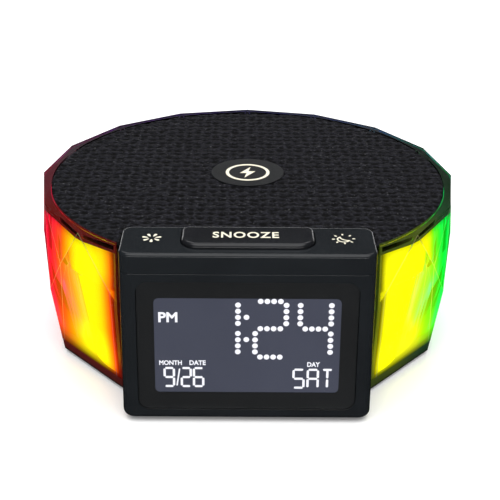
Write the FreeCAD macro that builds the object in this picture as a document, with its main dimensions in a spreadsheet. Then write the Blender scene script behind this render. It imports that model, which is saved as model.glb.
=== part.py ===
import FreeCAD, Part
import math
import os
import re

import Sketcher
from FreeCAD import Placement, Rotation, Vector

# Bedside clock: a faceted, lit drum with a fabric charging top, and a display block let into its front.
# Millimetres, +Z up, the table at z = 0, the display facing -Y. Places are measured from the drum's own
# axis, and finish() then moves every piece so that the origin lies under the middle of the whole clock.

SIZES = [
    # the faceted drum
    ("shell_radius", 79.0, "rim corners, from the drum's axis"),
    ("rim_width", 4.0, "rim corners to the round opening in the rim"),
    ("facet_angle", 22.0, "degrees from one rim corner to the next"),
    ("upper_inset", 0.4, "upper corners, in from the rim corners"),
    ("belly_inset", 0.4, "belly corners, in from the rim corners"),
    ("base_inset", 4.6, "main corners of the base, in from the rim corners"),
    ("base_mid_inset", 9.3, "corners of the base between the main ones"),
    ("crease_lean", 0.9, "degrees that each base crease leans forward, per corner"),
    ("top_level", 63.0, "rim and fabric above the table"),
    ("upper_level", 45.0, "upper row of facet corners"),
    ("belly_level", 28.0, "belly row of facet corners"),
    ("foot_height", 1.5, "underside of the case above the table"),
    ("tray_rise", 4.2, "visible height of the base tray"),
    ("shell_foot", 11.5, "inside of the shell at the tray, in from the rim corners"),
    ("shell_gap", 1.4, "ends of the shell to the display block"),
    ("cover_gap", 0.3, "fine gap between neighbouring covers"),
    # the display block
    ("block_half", 43.2, "half the width of the block"),
    ("front_setback", 5.5, "front face of the block, in from the rim corners"),
    ("block_deep", 31.5, "front face to the rear edge of the side walls"),
    ("block_wall", 2.0, "moulded walls of the block and the deck"),
    ("front_wall", 3.0, "front wall round the lens"),
    ("front_round", 4.5, "upright front corners"),
    ("base_round", 2.0, "lower edges"),
    ("edge_round", 1.2, "upper edges of the deck"),
    ("seam_round", 0.2, "edges of the deck and the housing along their seam"),
    ("deck_rise", 2.0, "deck above the fabric"),
    ("deck_tall", 7.3, "height of the deck cover"),
    ("deck_deep", 22.5, "depth of the deck cover"),
    ("deck_rear_round", 3.5, "rear corners of the deck in plan"),
    ("clip_tall", 3.0, "clips of the deck cover inside the housing"),
    ("clip_wide", 6.0, "clips of the deck cover inside the housing"),
    ("clip_thick", 1.3, "clips of the deck cover inside the housing"),
    # lens and display
    ("lens_side", 5.7, "side of the block to the lens"),
    ("lens_sill", 3.8, "underside of the case to the lens"),
    ("lens_head", 3.0, "lens to the joint of the deck cover"),
    ("lens_round", 4.0, "corners of the lens"),
    ("lens_thick", 1.5, "lens sheet"),
    ("lens_fit", 0.1, "lens in its seat"),
    ("glass_side", 2.5, "edge of the lens to the display glass, at each side"),
    ("glass_sill", 3.7, "edge of the lens to the display glass, below"),
    ("glass_head", 3.3, "edge of the lens to the display glass, above"),
    ("glass_thick", 2.2, "display glass"),
    ("glass_fit", 0.1, "display glass in its frame"),
    ("ledge", 2.0, "front wall over the edge of the display glass"),
    ("guide_thick", 3.0, "light guide behind the display glass"),
    ("contact_tall", 2.2, "contact strip under the light guide"),
    ("display_depth", 7.5, "front wall to the display board"),
    ("display_rim", 1.2, "wall of the display frame"),
    ("board_thick", 1.6, "circuit boards"),
    ("boss_radius", 2.0, "posts for the display board"),
    ("boss_gap", 3.8, "display glass to the middle of a post"),
    # snooze bar and touch pads
    ("bar_half", 22.5, "half the length of the snooze bar"),
    ("bar_inset", 4.5, "front face of the block to the bar"),
    ("bar_deep", 15.1, "snooze bar, front to back"),
    ("bar_round", 6.0, "front corners of the bar in plan"),
    ("bar_rear_round", 2.5, "rear corners of the bar in plan"),
    ("bar_edge", 1.4, "upper edge of the bar"),
    ("bar_rise", 1.6, "bar above the deck"),
    ("bar_travel", 0.8, "press of the bar"),
    ("bar_gap", 0.4, "bar in its opening"),
    ("lip_wide", 1.6, "lip that keeps the bar under the deck"),
    ("lip_thick", 1.2, "lip that keeps the bar under the deck"),
    ("lip_gap", 0.3, "lip below the deck"),
    ("key_line", 12.7, "front face of the block to the middle of the deck's keys"),
    ("stem_reach", 14.0, "snooze switches from the middle"),
    ("stem_radius", 2.0, "stems under the bar"),
    ("deck_board_drop", 4.9, "joint of the deck cover to the underside of its board"),
    ("switch_size", 6.0, "square body of a snooze switch"),
    ("switch_tall", 3.5, "body of a snooze switch"),
    ("plunger_radius", 1.7, "plunger of a snooze switch"),
    ("plunger_tall", 2.2, "plunger of a snooze switch"),
    ("plunger_rise", 1.1, "plunger above its switch"),
    ("plunger_fit", 0.08, "plunger in its switch"),
    ("touch_side", 10.4, "side of the block to the middle of a touch pad"),
    ("touch_radius", 5.5, "touch pads"),
    ("touch_thick", 0.4, "touch pads"),
    ("spring_radius", 3.0, "springs of the touch pads"),
    ("spring_wire", 0.6, "wire of the springs of the touch pads"),
    # fabric top and wireless charger
    ("fabric_thick", 1.0, "fabric"),
    ("fabric_gap", 0.4, "fabric to the rim and to the deck"),
    ("fabric_round", 0.7, "upper edge of the fabric"),
    ("frame_thick", 2.5, "plate under the fabric"),
    ("badge_radius", 14.0, "charging mark"),
    ("badge_place", 3.8, "charging mark, behind the drum's axis"),
    ("badge_rise", 0.3, "charging mark above the fabric"),
    ("coil_radius", 22.0, "charging coil"),
    ("coil_bore", 10.0, "charging coil"),
    ("coil_thick", 1.5, "charging coil"),
    ("ferrite_thick", 1.0, "ferrite disc"),
    ("ferrite_edge", 1.5, "ferrite disc, out from the coil"),
    ("holder_wall", 1.6, "coil holder"),
    ("lug_out", 4.7, "edge of the coil holder to its screws"),
    ("lug_radius", 2.6, "lugs of the top frame"),
    ("lug_tall", 4.5, "lugs of the top frame"),
    ("charger_half", 14.0, "half the length of the charger board"),
    ("charger_deep", 18.0, "charger board, front to back"),
    ("stand_tall", 2.5, "coil holder to the charger board"),
    # light ring
    ("diffuser_wall", 1.8, "light diffuser"),
    ("diffuser_gap", 1.0, "light diffuser to the shell"),
    ("diffuser_end", 0.4, "ends of the light diffuser to the display block"),
    ("light_room", 7.5, "inside of the shell at the tray to the inner chassis"),
    ("chassis_wall", 1.6, "inner chassis"),
    ("strip_level", 38.0, "middle of the light strip"),
    ("strip_tall", 10.0, "light strip"),
    ("strip_thick", 0.6, "light strip"),
    ("light_count", 18.0, "lights on the strip"),
    ("light_step", 15.0, "degrees from one light to the next"),
    ("light_size", 5.0, "square body of a light"),
    ("light_thick", 1.6, "body of a light"),
    # base
    ("tray_floor", 2.0, "floor of the base tray"),
    ("tray_rim", 3.0, "inside of the shell at the tray to the open middle of the tray"),
    ("post_inset", 5.0, "outside of the inner chassis to the middle of a post"),
    ("post_radius", 4.0, "screw posts"),
    ("rear_post_turn", 40.0, "degrees of the rear posts behind the side"),
    ("front_post_turn", 5.0, "degrees of the front posts ahead of the side"),
    ("foot_radius", 6.0, "rear feet"),
    ("foot_sunk", 0.8, "feet in the case"),
    ("foot_inset", 17.9, "rear feet, in from the rim corners"),
    ("foot_turn", 31.6, "degrees of the rear feet behind the side"),
    ("front_foot_radius", 5.0, "front feet"),
    ("front_foot_side", 10.2, "side of the block to the middle of a front foot"),
    ("front_foot_back", 10.5, "front face of the block to the middle of a front foot"),
    ("tongue_half", 30.0, "half the width of the tray's tongue in the block"),
    ("tongue_long", 15.0, "tray's tongue, ahead of the block's rear edge"),
    ("tongue_screw", 25.0, "screws of the tongue, from the middle"),
    ("tongue_boss", 8.0, "height of the screw posts on the tongue"),
    # battery
    ("cell_side", 32.0, "coin cell, left of the middle"),
    ("cell_back", 24.0, "coin cell, behind the block's rear edge"),
    ("cell_radius", 10.0, "coin cell"),
    ("cell_thick", 3.2, "coin cell"),
    ("door_radius", 13.0, "battery door"),
    ("door_fit", 0.1, "battery door in its hole"),
    ("tab_reach", 2.0, "locking tabs of the battery door"),
    ("tab_thick", 1.0, "locking tabs of the battery door"),
    ("tab_angle", 30.0, "degrees across a locking tab"),
    ("tab_gap", 0.2, "locking tabs above the floor"),
    ("tab_room", 0.4, "well round the locking tabs"),
    ("door_turn", 45.0, "degrees that the battery door turns to open"),
    ("well_wall", 1.6, "wall round the battery"),
    ("well_tall", 5.5, "wall round the battery"),
    ("blade_thick", 0.5, "battery contacts"),
    ("blade_half", 2.5, "half the width of the battery contacts"),
    # speaker
    ("speaker_back", 22.0, "speaker, behind the drum's axis"),
    ("cone_radius", 20.0, "speaker cone"),
    ("cone_tall", 6.0, "speaker cone"),
    ("paper_thick", 0.6, "wall of the speaker cone"),
    ("voice_coil", 7.0, "radius of the voice coil"),
    ("roll_radius", 1.6, "roll round the speaker cone"),
    ("basket_wall", 1.4, "speaker frame"),
    ("flange_wide", 4.6, "flange of the speaker frame"),
    ("flange_thick", 1.2, "flange of the speaker frame"),
    ("basket_tall", 12.0, "speaker frame"),
    ("magnet_radius", 14.0, "speaker magnet"),
    ("magnet_thick", 8.0, "speaker magnet"),
    ("gasket_thick", 0.8, "speaker gasket"),
    ("sound_rim", 1.0, "raised ring under the speaker"),
    ("slot_wide", 2.2, "sound slots"),
    ("slot_pitch", 5.5, "sound slots"),
    # main board
    ("main_left", 12.0, "main board, left of the middle"),
    ("main_right", 40.0, "main board, right of the middle"),
    ("main_gap", 3.0, "block's rear edge to the main board"),
    ("main_deep", 24.0, "main board, front to back"),
    ("main_rise", 5.5, "floor of the tray to the main board"),
    ("pillar_radius", 2.6, "pillars under the main board"),
    ("chip_side", 8.0, "main chip, right of the middle"),
    ("chip_front", 9.0, "main chip from the front edge of its board"),
    ("chip_size", 10.0, "square body of the main chip"),
    ("chip_tall", 1.6, "main chip"),
    ("radio_side", 22.0, "radio part, right of the middle"),
    ("radio_front", 8.0, "radio part from the front edge of its board"),
    ("radio_wide", 10.0, "radio part"),
    ("radio_deep", 8.0, "radio part, front to back"),
    ("radio_tall", 2.2, "radio part"),
    ("plug_side", 24.0, "power socket, right of the middle"),
    ("plug_front", 17.0, "power socket from the front edge of its board"),
    ("plug_wide", 8.0, "power socket"),
    ("plug_size", 5.0, "power socket, its height and its depth"),
    ("large_can", 3.15, "radius of the large capacitor"),
    ("large_can_front", 15.0, "large capacitor from the front edge of its board"),
    ("large_can_tall", 9.0, "large capacitor"),
    ("small_can", 2.5, "radius of the small capacitor"),
    ("small_can_front", 8.0, "small capacitor from the front edge of its board"),
    ("small_can_tall", 7.0, "small capacitor"),
    ("ribbon_side", 4.0, "display ribbon, right of the middle"),
    ("ribbon_wide", 12.0, "display ribbon"),
    ("ribbon_thick", 0.4, "display ribbon"),
    ("ribbon_rise", 2.0, "display ribbon above the main board"),
    ("ribbon_inset", 1.0, "end of the ribbon and its socket in from the front edge of the board"),
    ("ribbon_socket", 3.0, "socket of the ribbon, its height and its depth"),
    # rear panel
    ("panel_depth", 11.5, "face of the rear panel, in from the rim corners"),
    ("panel_tall", 21.3, "rear recess above the tray"),
    ("panel_wall", 2.0, "rear panel"),
    ("panel_side", 1.6, "side walls of the rear panel"),
    ("rear_space", 4.9, "rear panel to the rear board"),
    ("key_radius", 3.4, "set keys"),
    ("key_gap", 0.3, "set keys in their holes"),
    ("key_pitch", 9.5, "set keys"),
    ("key_reach", 20.0, "first set key from the middle"),
    ("key_level", 19.0, "set keys above the table"),
    ("key_rise", 1.2, "set keys proud of the panel"),
    ("key_travel", 0.6, "press of a set key"),
    ("key_lip", 1.0, "lip behind a set key"),
    ("key_stem", 1.2, "stem of a set key, its radius and its length"),
    ("rear_switch", 5.8, "square body of a rear switch"),
    ("knob_reach", 12.0, "alarm switch at rest from the middle"),
    ("knob_level", 10.6, "alarm switch above the table"),
    ("knob_half", 2.0, "half the length of the alarm switch's knob"),
    ("knob_tall", 3.0, "knob of the alarm switch"),
    ("knob_travel", 3.0, "travel of the alarm switch"),
    ("jack_gap", 8.5, "last set key to the power inlet"),
    ("jack_screw_gap", 0.1, "power inlet to the head of a rear screw"),
    ("jack_level", 11.6, "power inlet above the table"),
    ("jack_half", 4.5, "half the width of the power inlet"),
    ("jack_collar", 4.0, "radius of the collar of the power inlet"),
    ("jack_bore", 2.75, "radius of the power inlet's mouth"),
    ("jack_deep", 9.5, "depth of the power inlet"),
    ("jack_pin", 1.05, "radius of the pin in the power inlet"),
    # screws
    ("screw_shank", 1.5, "radius of a case screw"),
    ("screw_head", 2.8, "radius of the head of a case screw"),
    ("small_shank", 1.0, "radius of a board screw"),
    ("small_head", 1.9, "radius of the head of a board screw"),
    ("head_thick", 1.2, "head of a screw"),
    ("thread_gap", 0.05, "screw in its hole"),
    ("head_gap", 0.2, "head of a screw in its recess"),
    ("case_screw", 9.0, "length of a case screw"),
    ("board_screw", 3.8, "length of a board screw"),
]

doc = FreeCAD.newDocument("bedside_clock")
sheet = doc.addObject("Spreadsheet::Sheet", "Sizes")
for row, (alias, value, note) in enumerate(SIZES, start=1):
    sheet.set(f"A{row}", note)
    sheet.set(f"B{row}", str(value))
    sheet.setAlias(f"B{row}", alias)
doc.recompute()
ALIASES = {alias for alias, value, note in SIZES}

# Levels
TRAY_TOP = "(foot_height + tray_rise)"
FLOOR_TOP = "(foot_height + tray_floor)"
DECK_TOP = "(top_level + deck_rise)"
DECK_UNDER = f"({DECK_TOP} - block_wall)"
PART_LINE = f"({DECK_TOP} - deck_tall)"
FRAME_TOP = "(top_level - fabric_thick)"
LIGHT_LINE = f"({FRAME_TOP} - frame_thick)"
DECK_BOARD = f"({PART_LINE} - deck_board_drop)"
DECK_BOARD_TOP = f"({DECK_BOARD} + board_thick)"
PLUNGER_TOP = f"({DECK_BOARD_TOP} + switch_tall + plunger_rise)"
LIP_TOP = f"({DECK_UNDER} - lip_gap)"
LIP_UNDER = f"({LIP_TOP} - lip_thick)"

# Radii round the drum's axis
RIM = "(shell_radius - rim_width)"
SHELL_FOOT = "(shell_radius - shell_foot)"
CHASSIS = f"({SHELL_FOOT} - light_room)"
TRAY_BORE = f"({SHELL_FOOT} - tray_rim)"
FABRIC_EDGE = f"({RIM} - fabric_gap)"
FRAME_EDGE = f"({FABRIC_EDGE} - fabric_thick)"

# Places from front to back
FRONT = "(front_setback - shell_radius)"
STACK = f"({FRONT} + front_wall)"
BLOCK_REAR = f"({FRONT} + block_deep)"
DECK_REAR = f"({FRONT} + deck_deep)"
KEY_LINE = f"({FRONT} + key_line)"
BAR_FRONT = f"({FRONT} + bar_inset)"
BAR_REAR = f"({BAR_FRONT} + bar_deep)"
GLASS_BACK = f"({STACK} + glass_thick)"
GUIDE_BACK = f"({GLASS_BACK} + guide_thick)"
DISPLAY_BOARD = f"({STACK} + display_depth)"
DISPLAY_BOARD_BACK = f"({DISPLAY_BOARD} + board_thick)"
PANEL_FACE = "(shell_radius - panel_depth)"
PANEL_BACK = f"({PANEL_FACE} - panel_wall)"
REAR_BOARD = f"({PANEL_BACK} - rear_space)"

# Rear recess, from the last set key outwards
JACK_X = "(3 * key_pitch - key_reach + jack_gap)"
PANEL_INNER = f"({JACK_X} + jack_half + jack_screw_gap + small_head * 2)"
PANEL_HALF = f"({PANEL_INNER} + panel_side)"
REAR_SCREW_X = f"({PANEL_INNER} - small_head)"

# Lens and display glass
LENS_HALF = "(block_half - lens_side)"
LENS_LOW = "(foot_height + lens_sill)"
LENS_HIGH = f"({PART_LINE} - lens_head)"
GLASS_HALF = f"({LENS_HALF} - glass_side)"
GLASS_LOW = f"({LENS_LOW} + glass_sill)"
GLASS_HIGH = f"({LENS_HIGH} - glass_head)"
CONTACT_TOP = f"({GLASS_LOW} + contact_tall)"

# Well past every surface, for cuts and spans
FAR = "120"
EVERYWHERE = ("-" + FAR, FAR)
UP = Vector(0, 0, 1)
DEPTH = Vector(0, 1, 0)
BASE_STEPS = 7


def bound(text):
    """Turns plain size names into references to the sheet."""
    return re.sub(r"[a-z_]+", lambda word: "Sizes." + word[0] if word[0] in ALIASES else word[0], str(text))


def bind(thing, path, text):
    thing.setExpression(path, bound(text))


def add(kind, name):
    return doc.addObject(kind, name)


probe = add("App::FeaturePython", "Probe")
probe.addProperty("App::PropertyFloat", "Reading")


def number(text):
    """The present value of an expression of sizes."""
    bind(probe, "Reading", text)
    probe.recompute()
    return probe.Reading


def negative(text):
    return f"-({text})"


def both(text):
    """A span from -text to +text."""
    return (negative(text), text)


def about(middle, half):
    """A span to both sides of a middle."""
    return (f"({middle}) - ({half})", f"({middle}) + ({half})")


SIDES = (("right", str), ("left", negative))
SCREW_BORE = "(screw_shank + thread_gap)"
SMALL_BORE = "(small_shank + thread_gap)"
SINK = "(screw_head + head_gap)"


# Solids from primitives


def place(solid, x, y, z, turn=None):
    if turn:
        solid.Placement = Placement(Vector(), turn)
    for axis, text in zip("xyz", (x, y, z)):
        bind(solid, f"Placement.Base.{axis}", text)
    return solid


def box(name, x, y, z):
    """A block between two values on each axis."""
    solid = add("Part::Box", name)
    for side, (low, high) in zip(("Length", "Width", "Height"), (x, y, z)):
        bind(solid, side, f"({high}) - ({low})")
    return place(solid, x[0], y[0], z[0])


def rod(name, x, y, z, radius):
    """An upright cylinder between two heights."""
    solid = add("Part::Cylinder", name)
    bind(solid, "Radius", radius)
    bind(solid, "Height", f"({z[1]}) - ({z[0]})")
    return place(solid, x, y, z[0])


def rod_y(name, x, y, z, radius):
    """A level cylinder that runs from front to back."""
    solid = add("Part::Cylinder", name)
    bind(solid, "Radius", radius)
    bind(solid, "Height", f"({y[1]}) - ({y[0]})")
    return place(solid, x, y[0], z, Rotation(Vector(1, 0, 0), -90))


def cone(name, x, y, z, low_radius, high_radius):
    solid = add("Part::Cone", name)
    bind(solid, "Radius1", low_radius)
    bind(solid, "Radius2", high_radius)
    bind(solid, "Height", f"({z[1]}) - ({z[0]})")
    return place(solid, x, y, z[0])


def fuse(name, *solids):
    joined = add("Part::MultiFuse", name)
    joined.Shapes = list(solids)
    joined.Refine = True
    return joined


def cut(name, solid, *tools):
    result = add("Part::Cut", name)
    result.Base = solid
    result.Tool = tools[0] if len(tools) == 1 else fuse(name + "_tools", *tools)
    return result


def common(name, first, second):
    result = add("Part::Common", name)
    result.Base = first
    result.Tool = second
    return result


def group(name, solids):
    gathered = add("Part::Compound", name)
    gathered.Links = solids
    return gathered


def tube(name, x, y, z, outer, inner):
    """An upright tube; its bore runs past both ends."""
    past = (f"({z[0]}) - 1", f"({z[1]}) + 1")
    return cut(name, rod(name + "_outside", x, y, z, outer), rod(name + "_bore", x, y, past, inner))


# Bodies from sketches


def sketch_on(body, name, role, level):
    """A sketch on one of the body's origin planes, moved along that plane's normal."""
    plane = next(item for item in body.Origin.OriginFeatures if item.Role == role)
    drawing = body.newObject("Sketcher::SketchObject", name)
    drawing.AttachmentSupport = [(plane, "")]
    drawing.MapMode = "FlatFace"
    bind(drawing, "AttachmentOffset.Base.z", level)
    return drawing


def plan(body, name, level):
    """A level sketch."""
    return sketch_on(body, name, "XY_Plane", level)


def upright(body, name, y):
    """A sketch that faces the viewer; its plane's normal is -Y."""
    return sketch_on(body, name, "XZ_Plane", negative(y))


def draw_rectangle(drawing, across, along):
    """Four sides held by their distances from the sketch's origin."""
    corners = [(-1, -1), (1, -1), (1, 1), (-1, 1)]
    first = drawing.GeometryCount
    for index, start in enumerate(corners):
        end = corners[(index + 1) % 4]
        drawing.addGeometry(Part.LineSegment(Vector(*start, 0), Vector(*end, 0)), False)
    for index in range(4):
        follower = first + (index + 1) % 4
        drawing.addConstraint(Sketcher.Constraint("Coincident", first + index, 2, follower, 1))
        direction = "Horizontal" if index % 2 == 0 else "Vertical"
        drawing.addConstraint(Sketcher.Constraint(direction, first + index))
    held = [("DistanceX", first, across[0], -1.0), ("DistanceY", first, along[0], -1.0)]
    held += [("DistanceX", first + 2, across[1], 1.0), ("DistanceY", first + 2, along[1], 1.0)]
    for kind, line, text, start in held:
        index = drawing.addConstraint(Sketcher.Constraint(kind, -1, 1, line, 1, start))
        bind(drawing, f"Constraints[{index}]", text)


def draw_circle(drawing, across, along, radius):
    first = drawing.GeometryCount
    drawing.addGeometry(Part.Circle(Vector(0, 0, 0), UP, 1.0), False)
    for kind, text in (("DistanceX", across), ("DistanceY", along)):
        index = drawing.addConstraint(Sketcher.Constraint(kind, -1, 1, first, 3, 0.0))
        bind(drawing, f"Constraints[{index}]", text)
    index = drawing.addConstraint(Sketcher.Constraint("Radius", first, 1.0))
    bind(drawing, f"Constraints[{index}]", radius)


def pad(body, drawing, length, reverse=False):
    feature = body.newObject("PartDesign::Pad", drawing.Name + "_pad")
    feature.Profile = drawing
    feature.Reversed = reverse
    bind(feature, "Length", length)
    doc.recompute()


def pocket(body, drawing, length, reverse=False):
    """A cut against the sketch's normal, or along it when reversed; it has to take something away."""
    before = body.Shape.Volume
    feature = body.newObject("PartDesign::Pocket", drawing.Name + "_pocket")
    feature.Profile = drawing
    feature.Reversed = reverse
    bind(feature, "Length", length)
    doc.recompute()
    if body.Shape.Volume > before - 1e-6:
        raise RuntimeError(drawing.Name + " cuts nothing")


def is_straight(edge, direction):
    if edge.Curve.TypeId != "Part::GeomLine":
        return False
    return abs(abs(edge.tangentAt(edge.FirstParameter).dot(direction)) - 1.0) < 1e-6


def near(first, second):
    return abs(first - second) < 1e-4


def is_upright_at(y, x=None):
    """A test for upright edges at one depth, and at one distance from the middle if x is given."""

    def test(edge):
        middle = edge.CenterOfMass
        return is_straight(edge, UP) and near(middle.y, y) and (x is None or near(abs(middle.x), x))

    return test


def round_off(body, name, test, radius):
    """Rounds every edge of the body's last feature that passes the test."""
    names = [f"Edge{index}" for index, edge in enumerate(body.Shape.Edges, start=1) if test(edge)]
    if not names:
        raise RuntimeError(name + " finds no edge")
    base = body.Tip
    feature = body.newObject("PartDesign::Fillet", name)
    feature.Base = (base, names)
    bind(feature, "Radius", radius)
    doc.recompute()


# Finished pieces

PIECES = []
AXIS_SHIFT = f"(-shell_radius - {FRONT}) / 2"


def finish(solid, node):
    """Labels a finished piece and moves it from the drum's axis to the clock's own origin."""
    solid.Label = node
    present = {path.lstrip("."): text for path, text in solid.ExpressionEngine}
    own = present.get("Placement.Base.y")
    shift = bound(AXIS_SHIFT)
    solid.setExpression("Placement.Base.y", f"{own} + {shift}" if own else shift)
    PIECES.append((node, solid))


def screw(name, x, y, seat, down=False, small=False):
    """A pan-head screw with a crossed recess. seat is the height of the face that its head bears on;
    its tip points up, or down when asked."""
    length, shank, wide = "case_screw", "screw_shank", "screw_head"
    if small:
        length, shank, wide = "board_screw", "small_shank", "small_head"
    to_tip, to_head = ("-", "+") if down else ("+", "-")
    heights = [seat, f"{seat} {to_tip} {length}"]
    crown = [f"{seat} {to_head} head_thick", seat]
    recess = [f"{seat} {to_head} head_thick * 1.5", f"{seat} {to_head} head_thick / 2"]
    if down:
        heights, crown, recess = heights[::-1], crown[::-1], recess[::-1]
    parts = [rod(name + "_shank", x, y, heights, shank), rod(name + "_head", x, y, crown, wide)]
    long, thin = f"{wide} * 0.6", f"{wide} * 0.14"
    bars = []
    for index, (across, along) in enumerate(((long, thin), (thin, long))):
        bars.append(box(f"{name}_bar_{index}", about(x, across), about(y, along), recess))
    return cut(name, fuse(name + "_solid", *parts), *bars)


def around(radius, degrees, x="0", y="0"):
    """A place on a circle, its angle counted from the right-hand side towards the back."""
    return (f"{x} + {radius} * cos({degrees} * 1deg)", f"{y} + {radius} * sin({degrees} * 1deg)")


# The faceted outer form


def corner(radius, steps, level, lean=0.0):
    angle = math.radians(90.0 + steps * number("facet_angle") + lean)
    return Vector(radius * math.cos(angle), radius * math.sin(angle), level)


def facet_faces():
    """Corner lists of the facets, mirrored about x = 0: rim corners, an upper row half a step round,
    belly corners under every second rim corner, and the outline of the base."""
    last = BASE_STEPS
    top, upper_level, belly_level = number("top_level"), number("upper_level"), number("belly_level")
    rim_radius = number("shell_radius")
    upper_radius = rim_radius - number("upper_inset")
    belly_radius = rim_radius - number("belly_inset")
    rim = {step: corner(rim_radius, step, top) for step in range(-last, last + 1)}
    upper = {step: corner(upper_radius, step + 0.5, upper_level) for step in range(-last, last)}
    belly = {step: corner(belly_radius, step, belly_level) for step in range(-last, last + 1, 2)}
    base = {}
    for step in range(-last, last + 1):
        inset = number("base_inset" if step % 2 else "base_mid_inset")
        lean = 0.0 if step % 2 else step * number("crease_lean")
        base[step] = corner(rim_radius - inset, step, number("foot_height"), lean)

    faces = [list(rim.values()), list(base.values())]
    for step in range(-last, last):
        faces.append([rim[step], rim[step + 1], upper[step]])
        faces.append([upper[step], base[step], base[step + 1]])
    for step in range(1 - last, last):
        before, after = upper[step - 1], upper[step]
        if step % 2:
            faces.append([rim[step], before, belly[step]])
            faces.append([rim[step], after, belly[step]])
            faces.append([before, base[step], belly[step]])
            faces.append([after, base[step], belly[step]])
        else:
            faces.append([rim[step], before, after])
            faces.append([before, base[step], after])
    for step, beside in ((last, last - 1), (-last, -last)):
        faces.append([rim[step], upper[beside], belly[step]])
        faces.append([upper[beside], base[step], belly[step]])
    faces.append([rim[last], rim[-last], belly[-last], belly[last]])
    faces.append([belly[last], belly[-last], base[-last], base[last]])
    return faces


def facet_form(name):
    walls = [Part.Face(Part.makePolygon(points + points[:1])) for points in facet_faces()]
    solid = Part.Solid(Part.Shell(walls))
    if solid.Volume < 0:
        solid.reverse()
    form = add("Part::Feature", name)
    form.Shape = solid
    return form


def block_slot(name, gap, rear):
    """The space that the display block takes out of the drum."""
    return box(name, both(f"(block_half + {gap})"), ("-" + FAR, rear), EVERYWHERE)


def shell_bore(name, inward):
    """The inside of the shell, drawn in by a distance: straight above the upper row of corners and
    tapered below it."""
    taper_span = (TRAY_TOP, "upper_level")
    taper = cone(name + "_taper", "0", "0", taper_span, f"{SHELL_FOOT} - ({inward})", f"{RIM} - ({inward})")
    straight = rod(name + "_straight", "0", "0", ("upper_level", FAR), f"{RIM} - ({inward})")
    return fuse(name, taper, straight)


def rear_window(name, gap, low="0", rear=FAR):
    """The opening at the back for the rear panel."""
    high = f"{TRAY_TOP} + panel_tall + {gap}"
    return box(name, both(f"({PANEL_HALF} + {gap})"), (f"{REAR_BOARD} - 20", rear), (low, high))


def make_prism_shell():
    """Smoked clear shell: faceted outside, round inside, open at the front for the block."""
    upper_part = box("shell_span", EVERYWHERE, EVERYWHERE, (TRAY_TOP, FAR))
    shell = cut(
        "shell_cut",
        common("shell_above_tray", facet_form("shell_form"), upper_part),
        shell_bore("shell_bore", "0"),
        block_slot("shell_slot", "shell_gap", f"{BLOCK_REAR} + 2"),
        rear_window("shell_window", "cover_gap"),
    )
    finish(shell, "prism_shell")


def make_light_diffuser():
    """Milky ring just inside the shell, from the tray up to the top frame."""
    span = box("diffuser_span", EVERYWHERE, EVERYWHERE, (TRAY_TOP, LIGHT_LINE))
    ring = cut(
        "diffuser_cut",
        common("diffuser_band", shell_bore("diffuser_outside", "diffuser_gap"), span),
        shell_bore("diffuser_inside", "diffuser_gap + diffuser_wall"),
        block_slot("diffuser_slot", "diffuser_end", f"{BLOCK_REAR} + 2"),
        rear_window("diffuser_window", "cover_gap"),
    )
    finish(ring, "light_diffuser")


def posts():
    """Screw posts of the inner chassis: two behind the sides and two just ahead of them."""
    radius = f"({CHASSIS} - post_inset)"
    turns = ("rear_post_turn", "(180 - rear_post_turn)", "(-front_post_turn)", "(180 + front_post_turn)")
    return [around(radius, turn) for turn in turns]


def make_inner_chassis():
    """White wall behind the lights, with four screw posts against it."""
    heights = (FLOOR_TOP, LIGHT_LINE)
    solids = [tube("chassis_ring", "0", "0", heights, CHASSIS, f"{CHASSIS} - chassis_wall")]
    bores = []
    for index, (x, y) in enumerate(posts()):
        solids.append(rod(f"chassis_post_{index}", x, y, heights, "post_radius"))
        bores.append(rod(f"chassis_bore_{index}", x, y, ("0", FAR), SCREW_BORE))
    chassis = cut(
        "chassis_cut",
        fuse("chassis_solid", *solids),
        block_slot("chassis_mouth", "cover_gap", f"{BLOCK_REAR} + 8"),
        rear_window("chassis_window", "cover_gap * 2"),
        *bores,
    )
    finish(chassis, "inner_chassis")


def make_lights():
    """Flexible strip round the chassis, and the lights on it."""
    heights = about("strip_level", "strip_tall / 2")
    band = tube("strip_band", "0", "0", heights, f"{CHASSIS} + strip_thick", CHASSIS)
    finish(cut("strip_cut", band, block_slot("strip_slot", "cover_gap", f"{BLOCK_REAR} + 12")), "led_strip")
    lights = []
    reach = f"({CHASSIS} + strip_thick)"
    count = int(number("light_count"))
    for index in range(count):
        angle = 90.0 + (index - (count - 1) / 2) * number("light_step")
        turn = Rotation(UP, angle)
        out, along = turn.multVec(Vector(1, 0, 0)), turn.multVec(DEPTH)
        light = add("Part::Box", f"light_{index}")
        bind(light, "Length", "light_thick")
        bind(light, "Width", "light_size")
        bind(light, "Height", "light_size")
        x = f"{reach} * ({out.x:.9f}) - light_size / 2 * ({along.x:.9f})"
        y = f"{reach} * ({out.y:.9f}) - light_size / 2 * ({along.y:.9f})"
        lights.append(place(light, x, y, "strip_level - light_size / 2", turn))
    finish(group("light_group", lights), "rgb_leds")


# Base

CELL_X = "(-cell_side)"
CELL_Y = f"({BLOCK_REAR} + cell_back)"
WELL = "(door_radius + tab_reach + tab_room)"
SPEAKER_RIM = "(cone_radius + basket_wall * 2 + flange_wide)"
MAIN_FRONT = f"({BLOCK_REAR} + main_gap)"
MAIN_BACK = f"({MAIN_FRONT} + main_deep)"
MAIN_LEVEL = f"({FLOOR_TOP} + main_rise)"
TONGUE_SCREW_LINE = f"({BLOCK_REAR} - tongue_long / 2)"


def rear_feet():
    radius = "(shell_radius - foot_inset)"
    return [around(radius, turn) for turn in ("foot_turn", "(180 - foot_turn)")]


def front_feet():
    return [(side("(block_half - front_foot_side)"), f"{FRONT} + front_foot_back") for name, side in SIDES]


def tongue_screws():
    return [(side("tongue_screw"), TONGUE_SCREW_LINE) for name, side in SIDES]


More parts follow.
